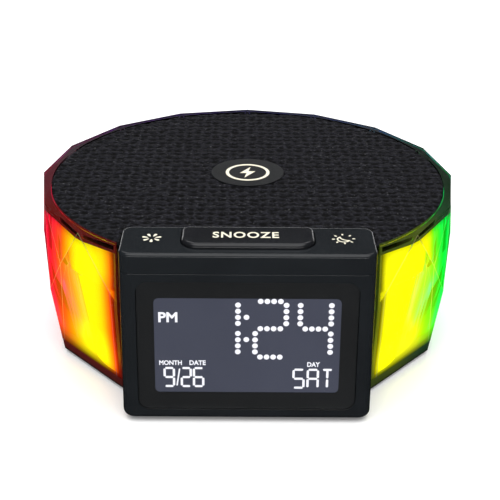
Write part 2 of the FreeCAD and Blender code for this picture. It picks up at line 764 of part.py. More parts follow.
def speaker_screws():
    radius = f"({SPEAKER_RIM} - flange_wide / 2)"
    return [around(radius, turn, y="speaker_back") for turn in (45, 135, 225, 315)]


def main_screws():
    inset = "(pillar_radius + 0.4)"
    xs = (f"{inset} - main_left", f"main_right - {inset}")
    return [(x, y) for x in xs for y in (f"{MAIN_FRONT} + {inset}", f"{MAIN_BACK} - {inset}")]


def door_tabs(name, heights, extra, turn):
    """Two wedges that reach past the door's edge: its locking tabs, or the ways in for them."""
    wedges = []
    for index, side in enumerate((0, 180)):
        wedge = rod(f"{name}_{index}", CELL_X, CELL_Y, heights, f"door_radius + tab_reach + {extra}")
        bind(wedge, "Angle", f"tab_angle + 20 * {extra}")
        wedge.Placement = Placement(Vector(), Rotation(UP, 1))
        bind(wedge, "Placement.Rotation.Angle", f"{side} + 90 - tab_angle / 2 - 10 * {extra} + {turn}")
        wedges.append(wedge)
    return fuse(name, *wedges)


def make_base_tray():
    """Black tray under the drum: floor, edge in the shell's outline, battery well, ring for the
    speaker, pillars for the main board and a tongue that is screwed to the display block."""
    outline = common(
        "tray_outline",
        facet_form("tray_form"),
        box("tray_span", EVERYWHERE, EVERYWHERE, ("foot_height", TRAY_TOP)),
    )
    dish = cut(
        "tray_dish",
        outline,
        rod("tray_hollow", "0", "0", (FLOOR_TOP, FAR), TRAY_BORE),
        block_slot("tray_slot", "cover_gap", f"{BLOCK_REAR} + cover_gap"),
        rear_window("tray_window", "cover_gap", FLOOR_TOP, f"{REAR_BOARD} + 0.9"),
    )
    tongue_span = (f"{BLOCK_REAR} - tongue_long", f"{BLOCK_REAR} + 2")
    solids = [
        dish,
        box("tray_tongue", both("tongue_half"), tongue_span, (FLOOR_TOP, TRAY_TOP)),
        rod("battery_well", CELL_X, CELL_Y, (FLOOR_TOP, f"{FLOOR_TOP} + well_tall"), f"{WELL} + well_wall"),
        rod("sound_ring", "0", "speaker_back", (FLOOR_TOP, f"{FLOOR_TOP} + sound_rim"), SPEAKER_RIM),
    ]
    cuts = [
        rod("sound_well", "0", "speaker_back", (FLOOR_TOP, FAR), "cone_radius + basket_wall"),
        rod("battery_space", CELL_X, CELL_Y, (FLOOR_TOP, FAR), WELL),
        rod("door_hole", CELL_X, CELL_Y, ("0", FAR), "door_radius + door_fit"),
        door_tabs("door_entry", ("0", f"{FLOOR_TOP} + 0.5"), "tab_gap", "-door_turn"),
    ]
    for index, (x, y) in enumerate(tongue_screws()):
        boss_top = f"{FLOOR_TOP} + tongue_boss"
        solids.append(rod(f"tongue_boss_{index}", x, y, (FLOOR_TOP, boss_top), "screw_shank * 2 + 0.2"))
        cuts.append(rod(f"tongue_bore_{index}", x, y, ("0", FAR), SCREW_BORE))
    for index, (x, y) in enumerate(main_screws()):
        solids.append(rod(f"board_pillar_{index}", x, y, (FLOOR_TOP, MAIN_LEVEL), "pillar_radius"))
        cuts.append(rod(f"pillar_bore_{index}", x, y, (f"{FLOOR_TOP} + 0.5", FAR), SMALL_BORE))
    for index, (x, y) in enumerate(rear_feet()):
        cuts.append(rod(f"foot_seat_{index}", x, y, ("0", "foot_height + foot_sunk"), "foot_radius"))
    for index, (x, y) in enumerate(posts()):
        cuts.append(rod(f"tray_bore_{index}", x, y, ("0", FAR), SCREW_BORE))
        cuts.append(rod(f"tray_sink_{index}", x, y, ("0", "foot_height + head_thick"), SINK))
    for index, (x, y) in enumerate(speaker_screws()):
        cuts.append(rod(f"speaker_bore_{index}", x, y, ("foot_height + 0.8", FAR), SMALL_BORE))
    for step in range(-3, 4):
        x = about(f"{step} * slot_pitch", "slot_wide / 2")
        y = about("speaker_back", f"sqrt(cone_radius ^ 2 - ({step} * slot_pitch) ^ 2)")
        cuts.append(box(f"sound_slot_{step + 3}", x, y, ("0", FAR)))
    finish(cut("tray_cut", fuse("tray_solid", *solids), *cuts), "base_tray")


def make_feet():
    """Four rubber discs: two under the tray and two under the display block."""
    heights = ("0", "foot_height + foot_sunk")
    discs = [rod(f"rear_foot_{n}", x, y, heights, "foot_radius") for n, (x, y) in enumerate(rear_feet())]
    for index, (x, y) in enumerate(front_feet()):
        discs.append(rod(f"front_foot_{index}", x, y, heights, "front_foot_radius"))
    finish(group("foot_group", discs), "rubber_feet")


def make_battery():
    """Twist-off door, the coin cell above it and its two contact blades."""
    tab_span = (f"{FLOOR_TOP} + tab_gap", f"{FLOOR_TOP} + tab_gap + tab_thick")
    disc = rod("door_disc", CELL_X, CELL_Y, ("foot_height", tab_span[1]), "door_radius")
    slot_span = ("0", "foot_height + 1")
    coin_slot = box("coin_slot", about(CELL_X, "door_radius / 2"), about(CELL_Y, "0.9"), slot_span)
    door = fuse("door_solid", disc, door_tabs("door_tab", tab_span, "0", "0"))
    finish(cut("door_cut", door, coin_slot), "battery_door")

    rest = f"({tab_span[1]} + 0.1)"
    top = f"({rest} + cell_thick)"
    finish(rod("cell", CELL_X, CELL_Y, (rest, top), "cell_radius"), "coin_cell")
    blade_top = f"{top} + blade_thick"
    end = f"({WELL} - tab_room)"
    long_blade = (f"{CELL_X} - {end}", f"{CELL_X} + cell_radius / 2")
    side = f"{CELL_X} + cell_radius"
    depth = about(CELL_Y, "blade_half")
    upper = box("blade_upper", long_blade, depth, (top, blade_top))
    wall = box("blade_side", (side, f"{side} + blade_thick"), depth, (rest, blade_top))
    foot = box("blade_foot", (side, f"{CELL_X} + {end}"), depth, (top, blade_top))
    finish(group("blade_group", [upper, fuse("side_blade", wall, foot)]), "battery_contacts")


def make_case_screws():
    seat = "foot_height + head_thick"
    screws = [screw(f"base_screw_{n}", x, y, seat) for n, (x, y) in enumerate(posts())]
    finish(group("base_screw_group", screws), "base_screws")
    screws = [screw(f"tongue_screw_{n}", x, y, seat) for n, (x, y) in enumerate(tongue_screws())]
    finish(group("tongue_screw_group", screws), "block_screws")
    seat = f"{FRAME_TOP} - head_thick"
    screws = [screw(f"top_screw_{n}", x, y, seat, down=True) for n, (x, y) in enumerate(posts())]
    finish(group("top_screw_group", screws), "top_screws")


# Top

HOLDER_TOP = f"({LIGHT_LINE} - coil_thick - ferrite_thick)"
HOLDER_UNDER = f"({HOLDER_TOP} - holder_wall)"
HOLDER_BORE = "(coil_radius + ferrite_edge + 0.2)"
HOLDER_EDGE = f"({HOLDER_BORE} + holder_wall)"
EAR_TOP = f"({LIGHT_LINE} - lug_tall)"
EAR_UNDER = f"({EAR_TOP} - holder_wall)"
CHARGER_TOP = f"({EAR_UNDER} - stand_tall)"


def top_disc(name, radius, side_gap, heights):
    """A disc with the display block's space cut out of its front."""
    notch = ("-" + FAR, f"{DECK_REAR} + {side_gap}")
    disc = rod(name + "_disc", "0", "0", heights, radius)
    return cut(name, disc, box(name + "_notch", both(f"(block_half + {side_gap})"), notch, EVERYWHERE))


def coil_screws():
    radius = f"({HOLDER_EDGE} + lug_out)"
    return [around(radius, turn, y="badge_place") for turn in (90, 210, 330)]


def charger_screws():
    inset = "3"
    x, y = f"(charger_half - {inset})", f"(charger_deep / 2 - {inset})"
    return [(x, f"badge_place + {y}"), (negative(x), f"badge_place - {y}")]


def make_top_frame():
    """Plate under the fabric, with lugs below it for the coil holder."""
    solids = [top_disc("frame_plate", FRAME_EDGE, "(fabric_gap + fabric_thick)", (LIGHT_LINE, FRAME_TOP))]
    bores = []
    for index, (x, y) in enumerate(coil_screws()):
        solids.append(rod(f"frame_lug_{index}", x, y, (EAR_TOP, LIGHT_LINE), "lug_radius"))
        bores.append(rod(f"lug_bore_{index}", x, y, ("0", LIGHT_LINE), SMALL_BORE))
    for index, (x, y) in enumerate(posts()):
        bores.append(rod(f"frame_bore_{index}", x, y, ("0", FAR), SCREW_BORE))
        sink = (f"{FRAME_TOP} - head_thick", FAR)
        bores.append(rod(f"frame_sink_{index}", x, y, sink, SINK))
    finish(cut("frame_cut", fuse("frame_solid", *solids), *bores), "top_frame")


def make_fabric_cover():
    """Fabric over the plate, folded down round its edge, with a hole for the charging mark."""
    cloth = top_disc("cloth", FABRIC_EDGE, "fabric_gap", (f"{LIGHT_LINE} + cover_gap", "top_level"))
    rounded = add("Part::Fillet", "cloth_round")
    rounded.Base = cloth
    doc.recompute()
    top = number("top_level")
    edges = []
    for index, edge in enumerate(cloth.Shape.Edges, start=1):
        if near(edge.BoundBox.ZMin, top) and near(edge.BoundBox.ZMax, top):
            edges.append((index, number("fabric_round"), number("fabric_round")))
    rounded.Edges = edges
    core = top_disc("cloth_core", FRAME_EDGE, "(fabric_gap + fabric_thick)", ("0", FRAME_TOP))
    hole = rod("cloth_hole", "0", "badge_place", ("0", FAR), "badge_radius + lens_fit")
    finish(cut("cloth_cut", rounded, core, hole), "fabric_cover")
    badge = (FRAME_TOP, "top_level + badge_rise")
    finish(rod("badge", "0", "badge_place", badge, "badge_radius"), "charge_badge")


def make_charger():
    """Flat coil and ferrite disc in a holder that is screwed under the top frame, and the charger
    board under it."""
    coil_span = (f"{LIGHT_LINE} - coil_thick", LIGHT_LINE)
    finish(tube("coil", "0", "badge_place", coil_span, "coil_radius", "coil_bore"), "charging_coil")
    disc = rod("ferrite", "0", "badge_place", (HOLDER_TOP, coil_span[0]), "coil_radius + ferrite_edge")
    finish(disc, "ferrite_disc")

    solids = [
        rod("holder_plate", "0", "badge_place", (HOLDER_UNDER, HOLDER_TOP), HOLDER_EDGE),
        tube("holder_rim", "0", "badge_place", (EAR_UNDER, f"{LIGHT_LINE} - 0.1"), HOLDER_EDGE, HOLDER_BORE),
    ]
    bores = []
    for index, ((x, y), turn) in enumerate(zip(coil_screws(), (90, 210, 330))):
        solids.append(rod(f"holder_ear_{index}", x, y, (EAR_UNDER, EAR_TOP), "lug_radius + 1"))
        along = Rotation(UP, turn).multVec(Vector(1, 0, 0))
        across = Rotation(UP, turn).multVec(DEPTH)
        arm = add("Part::Box", f"holder_arm_{index}")
        bind(arm, "Length", "lug_out + holder_wall / 2")
        bind(arm, "Width", "lug_radius * 2")
        bind(arm, "Height", "holder_wall")
        reach = f"({HOLDER_EDGE} - holder_wall / 2)"
        arm_x = f"{reach} * ({along.x:.9f}) - lug_radius * ({across.x:.9f})"
        arm_y = f"badge_place + {reach} * ({along.y:.9f}) - lug_radius * ({across.y:.9f})"
        solids.append(place(arm, arm_x, arm_y, EAR_UNDER, Rotation(UP, turn)))
        bores.append(rod(f"ear_bore_{index}", x, y, ("0", FAR), SMALL_BORE))
    for index, (x, y) in enumerate(charger_screws()):
        solids.append(rod(f"holder_stand_{index}", x, y, (CHARGER_TOP, HOLDER_UNDER), "small_head"))
        bores.append(rod(f"stand_bore_{index}", x, y, ("0", HOLDER_UNDER), SMALL_BORE))
    finish(cut("holder_cut", fuse("holder_solid", *solids), *bores), "coil_holder")

    board_z = (f"{CHARGER_TOP} - board_thick", CHARGER_TOP)
    board = box("charger_plate", both("charger_half"), about("badge_place", "charger_deep / 2"), board_z)
    holes = []
    screws = []
    for index, (x, y) in enumerate(charger_screws()):
        holes.append(rod(f"charger_hole_{index}", x, y, ("0", FAR), SMALL_BORE))
        screws.append(screw(f"charger_screw_{index}", x, y, board_z[0], small=True))
    finish(cut("charger_cut", board, *holes), "charger_board")
    for index, (x, y) in enumerate(coil_screws()):
        screws.append(screw(f"coil_screw_{index}", x, y, EAR_UNDER, small=True))
    finish(group("coil_screw_group", screws), "coil_screws")


# Display block

INNER_HALF = "(block_half - block_wall)"
DECK_SCREW = f"({INNER_HALF} - small_head - 0.3)"
DECK_SCREW_LINE = f"({DECK_REAR} - block_wall - 3)"


def side_spans(inner, outer):
    """The same stretch right and left of the middle."""
    return [(inner, outer), (negative(outer), negative(inner))]


def display_screws():
    x = f"({GLASS_HALF} + boss_gap)"
    return [(side(x), z) for z in (f"{GLASS_LOW} + 4", f"{GLASS_HIGH} - 6") for name, side in SIDES]


def make_front_housing():
    """Bucket of the display block: front wall with the seat of the lens, floor and two side walls."""
    body = add("PartDesign::Body", "housing")
    outline = plan(body, "housing_plan", "foot_height")
    draw_rectangle(outline, both("block_half"), (FRONT, BLOCK_REAR))
    pad(body, outline, f"{PART_LINE} - foot_height")
    front, rear = number(FRONT), number(BLOCK_REAR)
    low, seam = number("foot_height"), number(PART_LINE)
    seat_half = number(f"{LENS_HALF} + lens_fit")

    def is_lower(edge):
        return near(edge.BoundBox.ZMax, low) and not near(edge.CenterOfMass.y, rear)

    def is_seam(edge):
        return near(edge.BoundBox.ZMin, seam) and not near(edge.CenterOfMass.y, rear)

    def is_seat_corner(edge):
        middle = edge.CenterOfMass
        return is_straight(edge, DEPTH) and near(abs(middle.x), seat_half)

    round_off(body, "housing_corners", is_upright_at(front), "front_round")
    round_off(body, "housing_lower_edges", is_lower, "base_round")
    round_off(body, "housing_seam", is_seam, "seam_round")
    hollow = plan(body, "housing_hollow", PART_LINE)
    draw_rectangle(hollow, both(INNER_HALF), (STACK, f"{BLOCK_REAR} + 10"))
    pocket(body, hollow, f"{PART_LINE} - foot_height - block_wall")
    ledges = plan(body, "board_ledges", f"{DECK_BOARD} - block_wall")
    for span in side_spans(f"{INNER_HALF} - small_head * 2.4", INNER_HALF):
        draw_rectangle(ledges, span, (f"{DECK_SCREW_LINE} - 3", f"{DECK_REAR} + 2"))
    pad(body, ledges, "block_wall")
    seat = upright(body, "lens_seat", FRONT)
    seat_span = (f"{LENS_LOW} - lens_fit", f"{LENS_HIGH} + lens_fit")
    draw_rectangle(seat, both(f"({LENS_HALF} + lens_fit)"), seat_span)
    pocket(body, seat, "lens_thick")
    round_off(body, "lens_seat_corners", is_seat_corner, "lens_round + lens_fit")
    window = upright(body, "glass_window", f"{FRONT} + lens_thick")
    draw_rectangle(window, both(f"({GLASS_HALF} - ledge)"), (f"{GLASS_LOW} + ledge", f"{GLASS_HIGH} - ledge"))
    pocket(body, window, "front_wall")
    bosses = upright(body, "display_bosses", STACK)
    bores = upright(body, "display_bores", DISPLAY_BOARD)
    for x, z in display_screws():
        draw_circle(bosses, x, z, "boss_radius")
        draw_circle(bores, x, z, SMALL_BORE)
    pad(body, bosses, "display_depth", reverse=True)
    pocket(body, bores, "display_depth - 1", reverse=True)
    holes = plan(body, "housing_holes", "foot_height")
    sinks = plan(body, "housing_sinks", "foot_height")
    for x, y in tongue_screws():
        draw_circle(holes, x, y, SCREW_BORE)
        draw_circle(sinks, x, y, SINK)
    pocket(body, holes, "block_wall + 1", reverse=True)
    pocket(body, sinks, "head_thick", reverse=True)
    seats = plan(body, "front_foot_seats", "foot_height")
    for x, y in front_feet():
        draw_circle(seats, x, y, "front_foot_radius")
    pocket(body, seats, "foot_sunk", reverse=True)
    deck_bores = plan(body, "deck_board_bores", DECK_BOARD)
    for name, side in SIDES:
        draw_circle(deck_bores, side(DECK_SCREW), DECK_SCREW_LINE, SMALL_BORE)
    pocket(body, deck_bores, "block_wall + 1")
    finish(body, "front_housing")


def make_deck_cover():
    """Cap of the block: the deck, the opening for the snooze bar and two clips into the housing."""
    body = add("PartDesign::Body", "deck")
    outline = plan(body, "deck_plan", PART_LINE)
    draw_rectangle(outline, both("block_half"), (FRONT, DECK_REAR))
    pad(body, outline, f"{DECK_TOP} - {PART_LINE}")
    front, rear, top, seam = number(FRONT), number(DECK_REAR), number(DECK_TOP), number(PART_LINE)
    open_half = number("bar_half + bar_gap")
    open_front, open_rear = number(f"{BAR_FRONT} - bar_gap"), number(f"{BAR_REAR} + bar_gap")

    round_off(body, "deck_front_corners", is_upright_at(front), "front_round")
    round_off(body, "deck_rear_corners", is_upright_at(rear), "deck_rear_round")
    round_off(body, "deck_upper_edge", lambda edge: near(edge.BoundBox.ZMin, top), "edge_round")
    round_off(body, "deck_seam", lambda edge: near(edge.BoundBox.ZMax, seam), "seam_round")
    hollow = plan(body, "deck_hollow", PART_LINE)
    draw_rectangle(hollow, both(INNER_HALF), (f"{FRONT} + block_wall", f"{DECK_REAR} - block_wall"))
    pocket(body, hollow, "deck_tall - block_wall", reverse=True)
    opening = plan(body, "bar_opening", DECK_TOP)
    draw_rectangle(opening, both("(bar_half + bar_gap)"), (f"{BAR_FRONT} - bar_gap", f"{BAR_REAR} + bar_gap"))
    pocket(body, opening, "block_wall + 1")
    round_off(body, "opening_front_corners", is_upright_at(open_front, open_half), "bar_round + bar_gap")
    round_off(body, "opening_rear_corners", is_upright_at(open_rear, open_half), "bar_rear_round + bar_gap")
    along = about(KEY_LINE, "clip_wide / 2")
    roots = plan(body, "clip_roots", PART_LINE)
    tips = plan(body, "clip_tips", PART_LINE)
    for root, tip in zip(
        side_spans(f"{INNER_HALF} - cover_gap / 2 - clip_thick", INNER_HALF),
        side_spans(f"{INNER_HALF} - cover_gap / 2 - clip_thick", f"{INNER_HALF} - cover_gap / 2"),
    ):
        draw_rectangle(roots, root, along)
        draw_rectangle(tips, tip, along)
    pad(body, roots, "2")
    pad(body, tips, "clip_tall", reverse=True)
    finish(body, "deck_cover")


def make_lens():
    body = add("PartDesign::Body", "lens")
    outline = upright(body, "lens_outline", f"{FRONT} + lens_thick")
    draw_rectangle(outline, both(LENS_HALF), (LENS_LOW, LENS_HIGH))
    pad(body, outline, "lens_thick")
    round_off(body, "lens_corners", lambda edge: is_straight(edge, DEPTH), "lens_round")
    finish(body, "lens_panel")


def make_display():
    """Display glass, its frame, the light guide, the contact strip and the board behind them."""
    wide = both(GLASS_HALF)
    finish(box("glass", wide, (STACK, GLASS_BACK), (GLASS_LOW, GLASS_HIGH)), "lcd_glass")
    guide_span = (f"{CONTACT_TOP} + cover_gap", GLASS_HIGH)
    finish(box("guide", wide, (GLASS_BACK, GUIDE_BACK), guide_span), "backlight_guide")
    contact_half = f"({GLASS_HALF} - 3)"
    contact_depth = (GLASS_BACK, DISPLAY_BOARD)
    finish(box("contacts", both(contact_half), contact_depth, (GLASS_LOW, CONTACT_TOP)), "contact_strip")

    edge = "display_rim + glass_fit"
    low, high = f"{GLASS_LOW} - glass_fit", f"{GLASS_HIGH} + glass_fit"
    outside = box(
        "display_outside",
        both(f"({GLASS_HALF} + {edge})"),
        (STACK, DISPLAY_BOARD),
        (f"{GLASS_LOW} - ({edge})", f"{GLASS_HIGH} + {edge}"),
    )
    contact_room = (low, f"{CONTACT_TOP} + glass_fit")
    back_opening = (f"{GLASS_LOW} + 8", f"{GLASS_HIGH} - 6")
    rooms = [
        box("display_room", both(f"({GLASS_HALF} + glass_fit)"), ("-" + FAR, GUIDE_BACK), (low, high)),
        box("contact_room", both(f"({contact_half} + glass_fit)"), EVERYWHERE, contact_room),
        box("back_opening", both(f"({GLASS_HALF} - 8)"), EVERYWHERE, back_opening),
    ]
    finish(cut("display_frame_cut", outside, *rooms), "lcd_frame")

    plate = box(
        "display_plate",
        both(f"({GLASS_HALF} + boss_gap + boss_radius - cover_gap)"),
        (DISPLAY_BOARD, DISPLAY_BOARD_BACK),
        (f"{GLASS_LOW} - ({edge})", f"{GLASS_HIGH} - 1.4"),
    )
    holes = []
    screws = []
    for index, (x, z) in enumerate(display_screws()):
        hole = (f"{DISPLAY_BOARD} - 1", f"{DISPLAY_BOARD_BACK} + 1")
        holes.append(rod_y(f"display_hole_{index}", x, hole, z, SMALL_BORE))
        shank = (f"{DISPLAY_BOARD_BACK} - board_screw", DISPLAY_BOARD_BACK)
        head = (DISPLAY_BOARD_BACK, f"{DISPLAY_BOARD_BACK} + head_thick")
        parts = [
            rod_y(f"display_shank_{index}", x, shank, z, "small_shank"),
            rod_y(f"display_head_{index}", x, head, z, "small_head"),
        ]
        screws.append(fuse(f"display_screw_{index}", *parts))
    finish(cut("display_board_cut", plate, *holes), "display_board")
    for name, side in SIDES:
        x = side(DECK_SCREW)
        screws.append(screw(f"deck_screw_{name}", x, DECK_SCREW_LINE, DECK_BOARD_TOP, down=True, small=True))
    finish(group("display_screw_group", screws), "display_screws")


def make_snooze_bar():
    """Bar with a lip all round that keeps it under the deck, and two stems down to the switches."""
    body = add("PartDesign::Body", "snooze")
    outline = plan(body, "bar_plan", LIP_UNDER)
    draw_rectangle(outline, both("bar_half"), (BAR_FRONT, BAR_REAR))
    pad(body, outline, f"{DECK_TOP} + bar_rise - {LIP_UNDER}")
    front, rear = number(BAR_FRONT), number(BAR_REAR)
    top = number(f"{DECK_TOP} + bar_rise")
    round_off(body, "bar_corners", is_upright_at(front), "bar_round")
    round_off(body, "bar_rear_corners", is_upright_at(rear), "bar_rear_round")
    round_off(body, "bar_upper_edge", lambda edge: near(edge.BoundBox.ZMin, top), "bar_edge")
    lip = plan(body, "bar_lip", LIP_UNDER)
    draw_rectangle(lip, both("(bar_half + lip_wide)"), (f"{BAR_FRONT} - lip_wide", BAR_REAR))
    pad(body, lip, "lip_thick")
    stems = plan(body, "bar_stems", LIP_UNDER)
    for name, side in SIDES:
        draw_circle(stems, side("stem_reach"), KEY_LINE, "stem_radius")
    pad(body, stems, f"{LIP_UNDER} - {PLUNGER_TOP}", reverse=True)
    finish(body, "snooze_bar")


def make_snooze_switches():
    plungers = []
    cases = []
    low = f"({PLUNGER_TOP} - plunger_tall)"
    half = "switch_size / 2"
    for name, side in SIDES:
        x = side("stem_reach")
        plungers.append(rod(f"plunger_{name}", x, KEY_LINE, (low, PLUNGER_TOP), "plunger_radius"))
        heights = (DECK_BOARD_TOP, f"{DECK_BOARD_TOP} + switch_tall")
        case = box(f"switch_case_{name}", about(x, half), about(KEY_LINE, half), heights)
        hole = (f"{low} - bar_travel - 0.1", FAR)
        well = rod(f"switch_hole_{name}", x, KEY_LINE, hole, "plunger_radius + plunger_fit")
        cases.append(cut(f"switch_{name}", case, well))
    finish(group("plunger_group", plungers), "snooze_plungers")
    finish(group("switch_group", cases), "snooze_switches")


def make_deck_board():
    """Board under the deck, and the touch pads on their springs."""
    plate = box(
        "deck_plate",
        both(f"({INNER_HALF} - cover_gap)"),
        (f"{STACK} + 1.3", f"{DECK_REAR} - cover_gap"),
        (DECK_BOARD, DECK_BOARD_TOP),
    )
    holes = []
    pads = []
    springs = []
    pad_under = f"{DECK_UNDER} - touch_thick"
    for name, side in SIDES:
        hole = rod(f"deck_hole_{name}", side(DECK_SCREW), DECK_SCREW_LINE, ("0", FAR), SMALL_BORE)
        holes.append(hole)
        x = side("(block_half - touch_side)")
        pads.append(rod(f"touch_pad_{name}", x, KEY_LINE, (pad_under, DECK_UNDER), "touch_radius"))
        radii = ("spring_radius", "spring_radius - spring_wire")
        springs.append(tube(f"touch_spring_{name}", x, KEY_LINE, (DECK_BOARD_TOP, pad_under), *radii))
    finish(cut("deck_board_cut", plate, *holes), "deck_board")
    finish(group("touch_pad_group", pads), "touch_pads")
    finish(group("touch_spring_group", springs), "touch_springs")


# Speaker and boards


def make_speaker():
    """Small downward driver: gasket, frame, magnet, cone and the roll that holds the cone."""
    seat = f"({FLOOR_TOP} + sound_rim)"
    base = f"({seat} + gasket_thick)"
    flange_top = f"({base} + flange_thick)"
    magnet_low = f"({base} + basket_tall)"
    well = "(cone_radius + basket_wall)"
    middle = ("0", "speaker_back")
    bowl = f"({well} + basket_wall)"
    straight_top = f"({flange_top} + roll_radius)"
    solids = [
        rod("speaker_flange", *middle, (base, flange_top), SPEAKER_RIM),
        rod("speaker_bowl", *middle, (flange_top, straight_top), bowl),
        cone("speaker_basket", *middle, (straight_top, magnet_low), bowl, "magnet_radius + 1"),
    ]
    window_span = (f"{straight_top} + 1", f"{magnet_low} - 2.5")
    inside_span = (straight_top, f"{magnet_low} - 1.5")
    rooms = [
        rod("speaker_mouth", *middle, ("0", straight_top), f"{well} + 0.2"),
        cone("speaker_inside", *middle, inside_span, f"{well} + 0.2", "magnet_radius - 1"),
        box("basket_window_a", both("5"), EVERYWHERE, window_span),
        box("basket_window_b", EVERYWHERE, about("speaker_back", "5"), window_span),
    ]
    screws = []
    gasket_holes = []
    for index, (x, y) in enumerate(speaker_screws()):
        rooms.append(rod(f"flange_bore_{index}", x, y, ("0", FAR), SMALL_BORE))
        gasket_holes.append(rod(f"gasket_bore_{index}", x, y, ("0", FAR), SMALL_BORE))
        screws.append(screw(f"speaker_screw_{index}", x, y, flange_top, down=True, small=True))
    gasket = tube("gasket", *middle, (seat, base), SPEAKER_RIM, well)
    finish(cut("gasket_cut", gasket, *gasket_holes), "speaker_gasket")
    finish(cut("speaker_frame_cut", fuse("speaker_frame_solid", *solids), *rooms), "speaker_frame")
    magnet_span = (magnet_low, f"{magnet_low} + magnet_thick")
    finish(rod("magnet", *middle, magnet_span, "magnet_radius"), "speaker_magnet")
    finish(group("speaker_screw_group", screws), "speaker_screws")

    rolls = []
    for name, radius in (("outer", "roll_radius"), ("inner", "roll_radius - 0.5")):
        roll = add("Part::Torus", f"roll_{name}")
        bind(roll, "Radius1", f"{well} - roll_radius")
        bind(roll, "Radius2", radius)
        rolls.append(place(roll, *middle, f"{base} + 0.4"))
    above = box("roll_span", EVERYWHERE, EVERYWHERE, (f"{base} + 0.4", FAR))
    finish(common("roll_half", cut("roll_wall", *rolls), above), "speaker_surround")

    wide = f"({well} - roll_radius * 2)"
    cone_low = f"({base} + 0.4)"
    heights = (cone_low, f"{cone_low} + cone_tall")
    hollow = (f"{cone_low} - paper_thick", f"{cone_low} + cone_tall - paper_thick")
    outside = cone("cone_outside", *middle, heights, wide, "voice_coil + 1")
    inside = cone("cone_inside", *middle, hollow, wide, "voice_coil + 1")
    coil = rod("voice_coil", *middle, (hollow[1], f"{magnet_low} - 1.7"), "voice_coil")
    finish(fuse("cone_solid", cut("cone_cut", outside, inside), coil), "speaker_cone")


def make_main_board():
    """Main board on its pillars, its larger parts and its screws."""
    top = f"({MAIN_LEVEL} + board_thick)"
    plate = box("main_plate", ("-main_left", "main_right"), (MAIN_FRONT, MAIN_BACK), (MAIN_LEVEL, top))
    holes = []
    screws = []
    for index, (x, y) in enumerate(main_screws()):
        holes.append(rod(f"main_hole_{index}", x, y, ("0", FAR), SMALL_BORE))
        screws.append(screw(f"main_screw_{index}", x, y, top, down=True, small=True))
    finish(cut("main_cut", plate, *holes), "main_board")
    finish(group("main_screw_group", screws), "board_screws")

    def part_on_board(name, left, front, size):
        """A block on the board; left from the middle, front from the board's front edge."""
        wide, deep, tall = size
        y_span = (f"{MAIN_FRONT} + {front}", f"{MAIN_FRONT} + {front} + {deep}")
        return box(name, (left, f"{left} + {wide}"), y_span, (top, f"{top} + {tall}"))

    def can(name, radius, front, tall):
        """A capacitor on the board, on the middle line."""
        return rod(name, "0", f"{MAIN_FRONT} + {front}", (top, f"{top} + {tall}"), radius)

    ribbon_size = ("(ribbon_wide + 2)", "ribbon_socket", "ribbon_socket")
    parts = [
        part_on_board("main_chip", "chip_side", "chip_front", ("chip_size", "chip_size", "chip_tall")),
        part_on_board("radio_part", "radio_side", "radio_front", ("radio_wide", "radio_deep", "radio_tall")),
        part_on_board("power_socket", "plug_side", "plug_front", ("plug_wide", "plug_size", "plug_size")),
        part_on_board("ribbon_plug", "(ribbon_side - 1)", "ribbon_inset", ribbon_size),
        can("large_capacitor", "large_can", "large_can_front", "large_can_tall"),
        can("small_capacitor", "small_can", "small_can_front", "small_can_tall"),
    ]
    finish(group("main_parts", parts), "board_parts")


def make_ribbon():
    """Flat cable from the display board to the socket on the main board."""
    level = f"({MAIN_LEVEL} + board_thick + ribbon_rise)"
    x = ("ribbon_side", "ribbon_side + ribbon_wide")
    rise_y = (DISPLAY_BOARD_BACK, f"{DISPLAY_BOARD_BACK} + ribbon_thick")
    rise = box("ribbon_rise", x, rise_y, (level, f"{level} + ribbon_wide"))
    run_y = (DISPLAY_BOARD_BACK, f"{MAIN_FRONT} + ribbon_inset")
    run = box("ribbon_run", x, run_y, (f"{level} - ribbon_thick", level))
    finish(fuse("ribbon_solid", rise, run), "display_ribbon")


# Rear panel

REAR_SCREW_LEVEL = f"({TRAY_TOP} + small_head + 0.6)"
KNOB_X = "(-knob_reach)"
KEY_LIP_BACK = f"({PANEL_BACK} - cover_gap)"
KEY_LIP_FRONT = f"({KEY_LIP_BACK} - key_stem)"


def set_keys():
    names = ("time_key", "alarm_key", "minus_key", "plus_key")
    return [(name, f"({index} * key_pitch - key_reach)") for index, name in enumerate(names)]


def make_rear_panel():
    """Recessed panel at the back: a flat face, a floor and a roof that end in the shell's outline."""
    tub = box(
        "panel_block",
        both(PANEL_HALF),
        (PANEL_BACK, FAR),
        (TRAY_TOP, f"{TRAY_TOP} + panel_tall"),
    )
    recess = box(
        "panel_recess",
        both(PANEL_INNER),
        (PANEL_FACE, FAR),
        (f"{TRAY_TOP} + panel_side", f"{TRAY_TOP} + panel_tall - panel_side"),
    )
    solids = [common("panel_shaped", tub, facet_form("panel_form"))]
    cuts = [recess]
    for name, side in SIDES:
        x = side(REAR_SCREW_X)
        post = (REAR_BOARD, PANEL_BACK)
        solids.append(rod_y(f"panel_post_{name}", x, post, REAR_SCREW_LEVEL, "small_head"))
        bore = (f"{REAR_BOARD} - 1", f"{PANEL_BACK} - 0.2")
        cuts.append(rod_y(f"panel_bore_{name}", x, bore, REAR_SCREW_LEVEL, SMALL_BORE))
    for name, x in set_keys():
        cuts.append(rod_y(name + "_hole", x, ("0", FAR), "key_level", "key_radius + key_gap"))
    cuts.append(rod_y("jack_hole", JACK_X, ("0", FAR), "jack_level", "jack_collar + 0.15"))
    slot_x = (f"{KNOB_X} - knob_half - cover_gap", f"{KNOB_X} + knob_travel + knob_half + cover_gap")
    cuts.append(box("knob_slot", slot_x, ("0", FAR), about("knob_level", "knob_tall / 2 + cover_gap")))
    finish(cut("panel_cut", fuse("panel_solid", *solids), *cuts), "rear_panel")


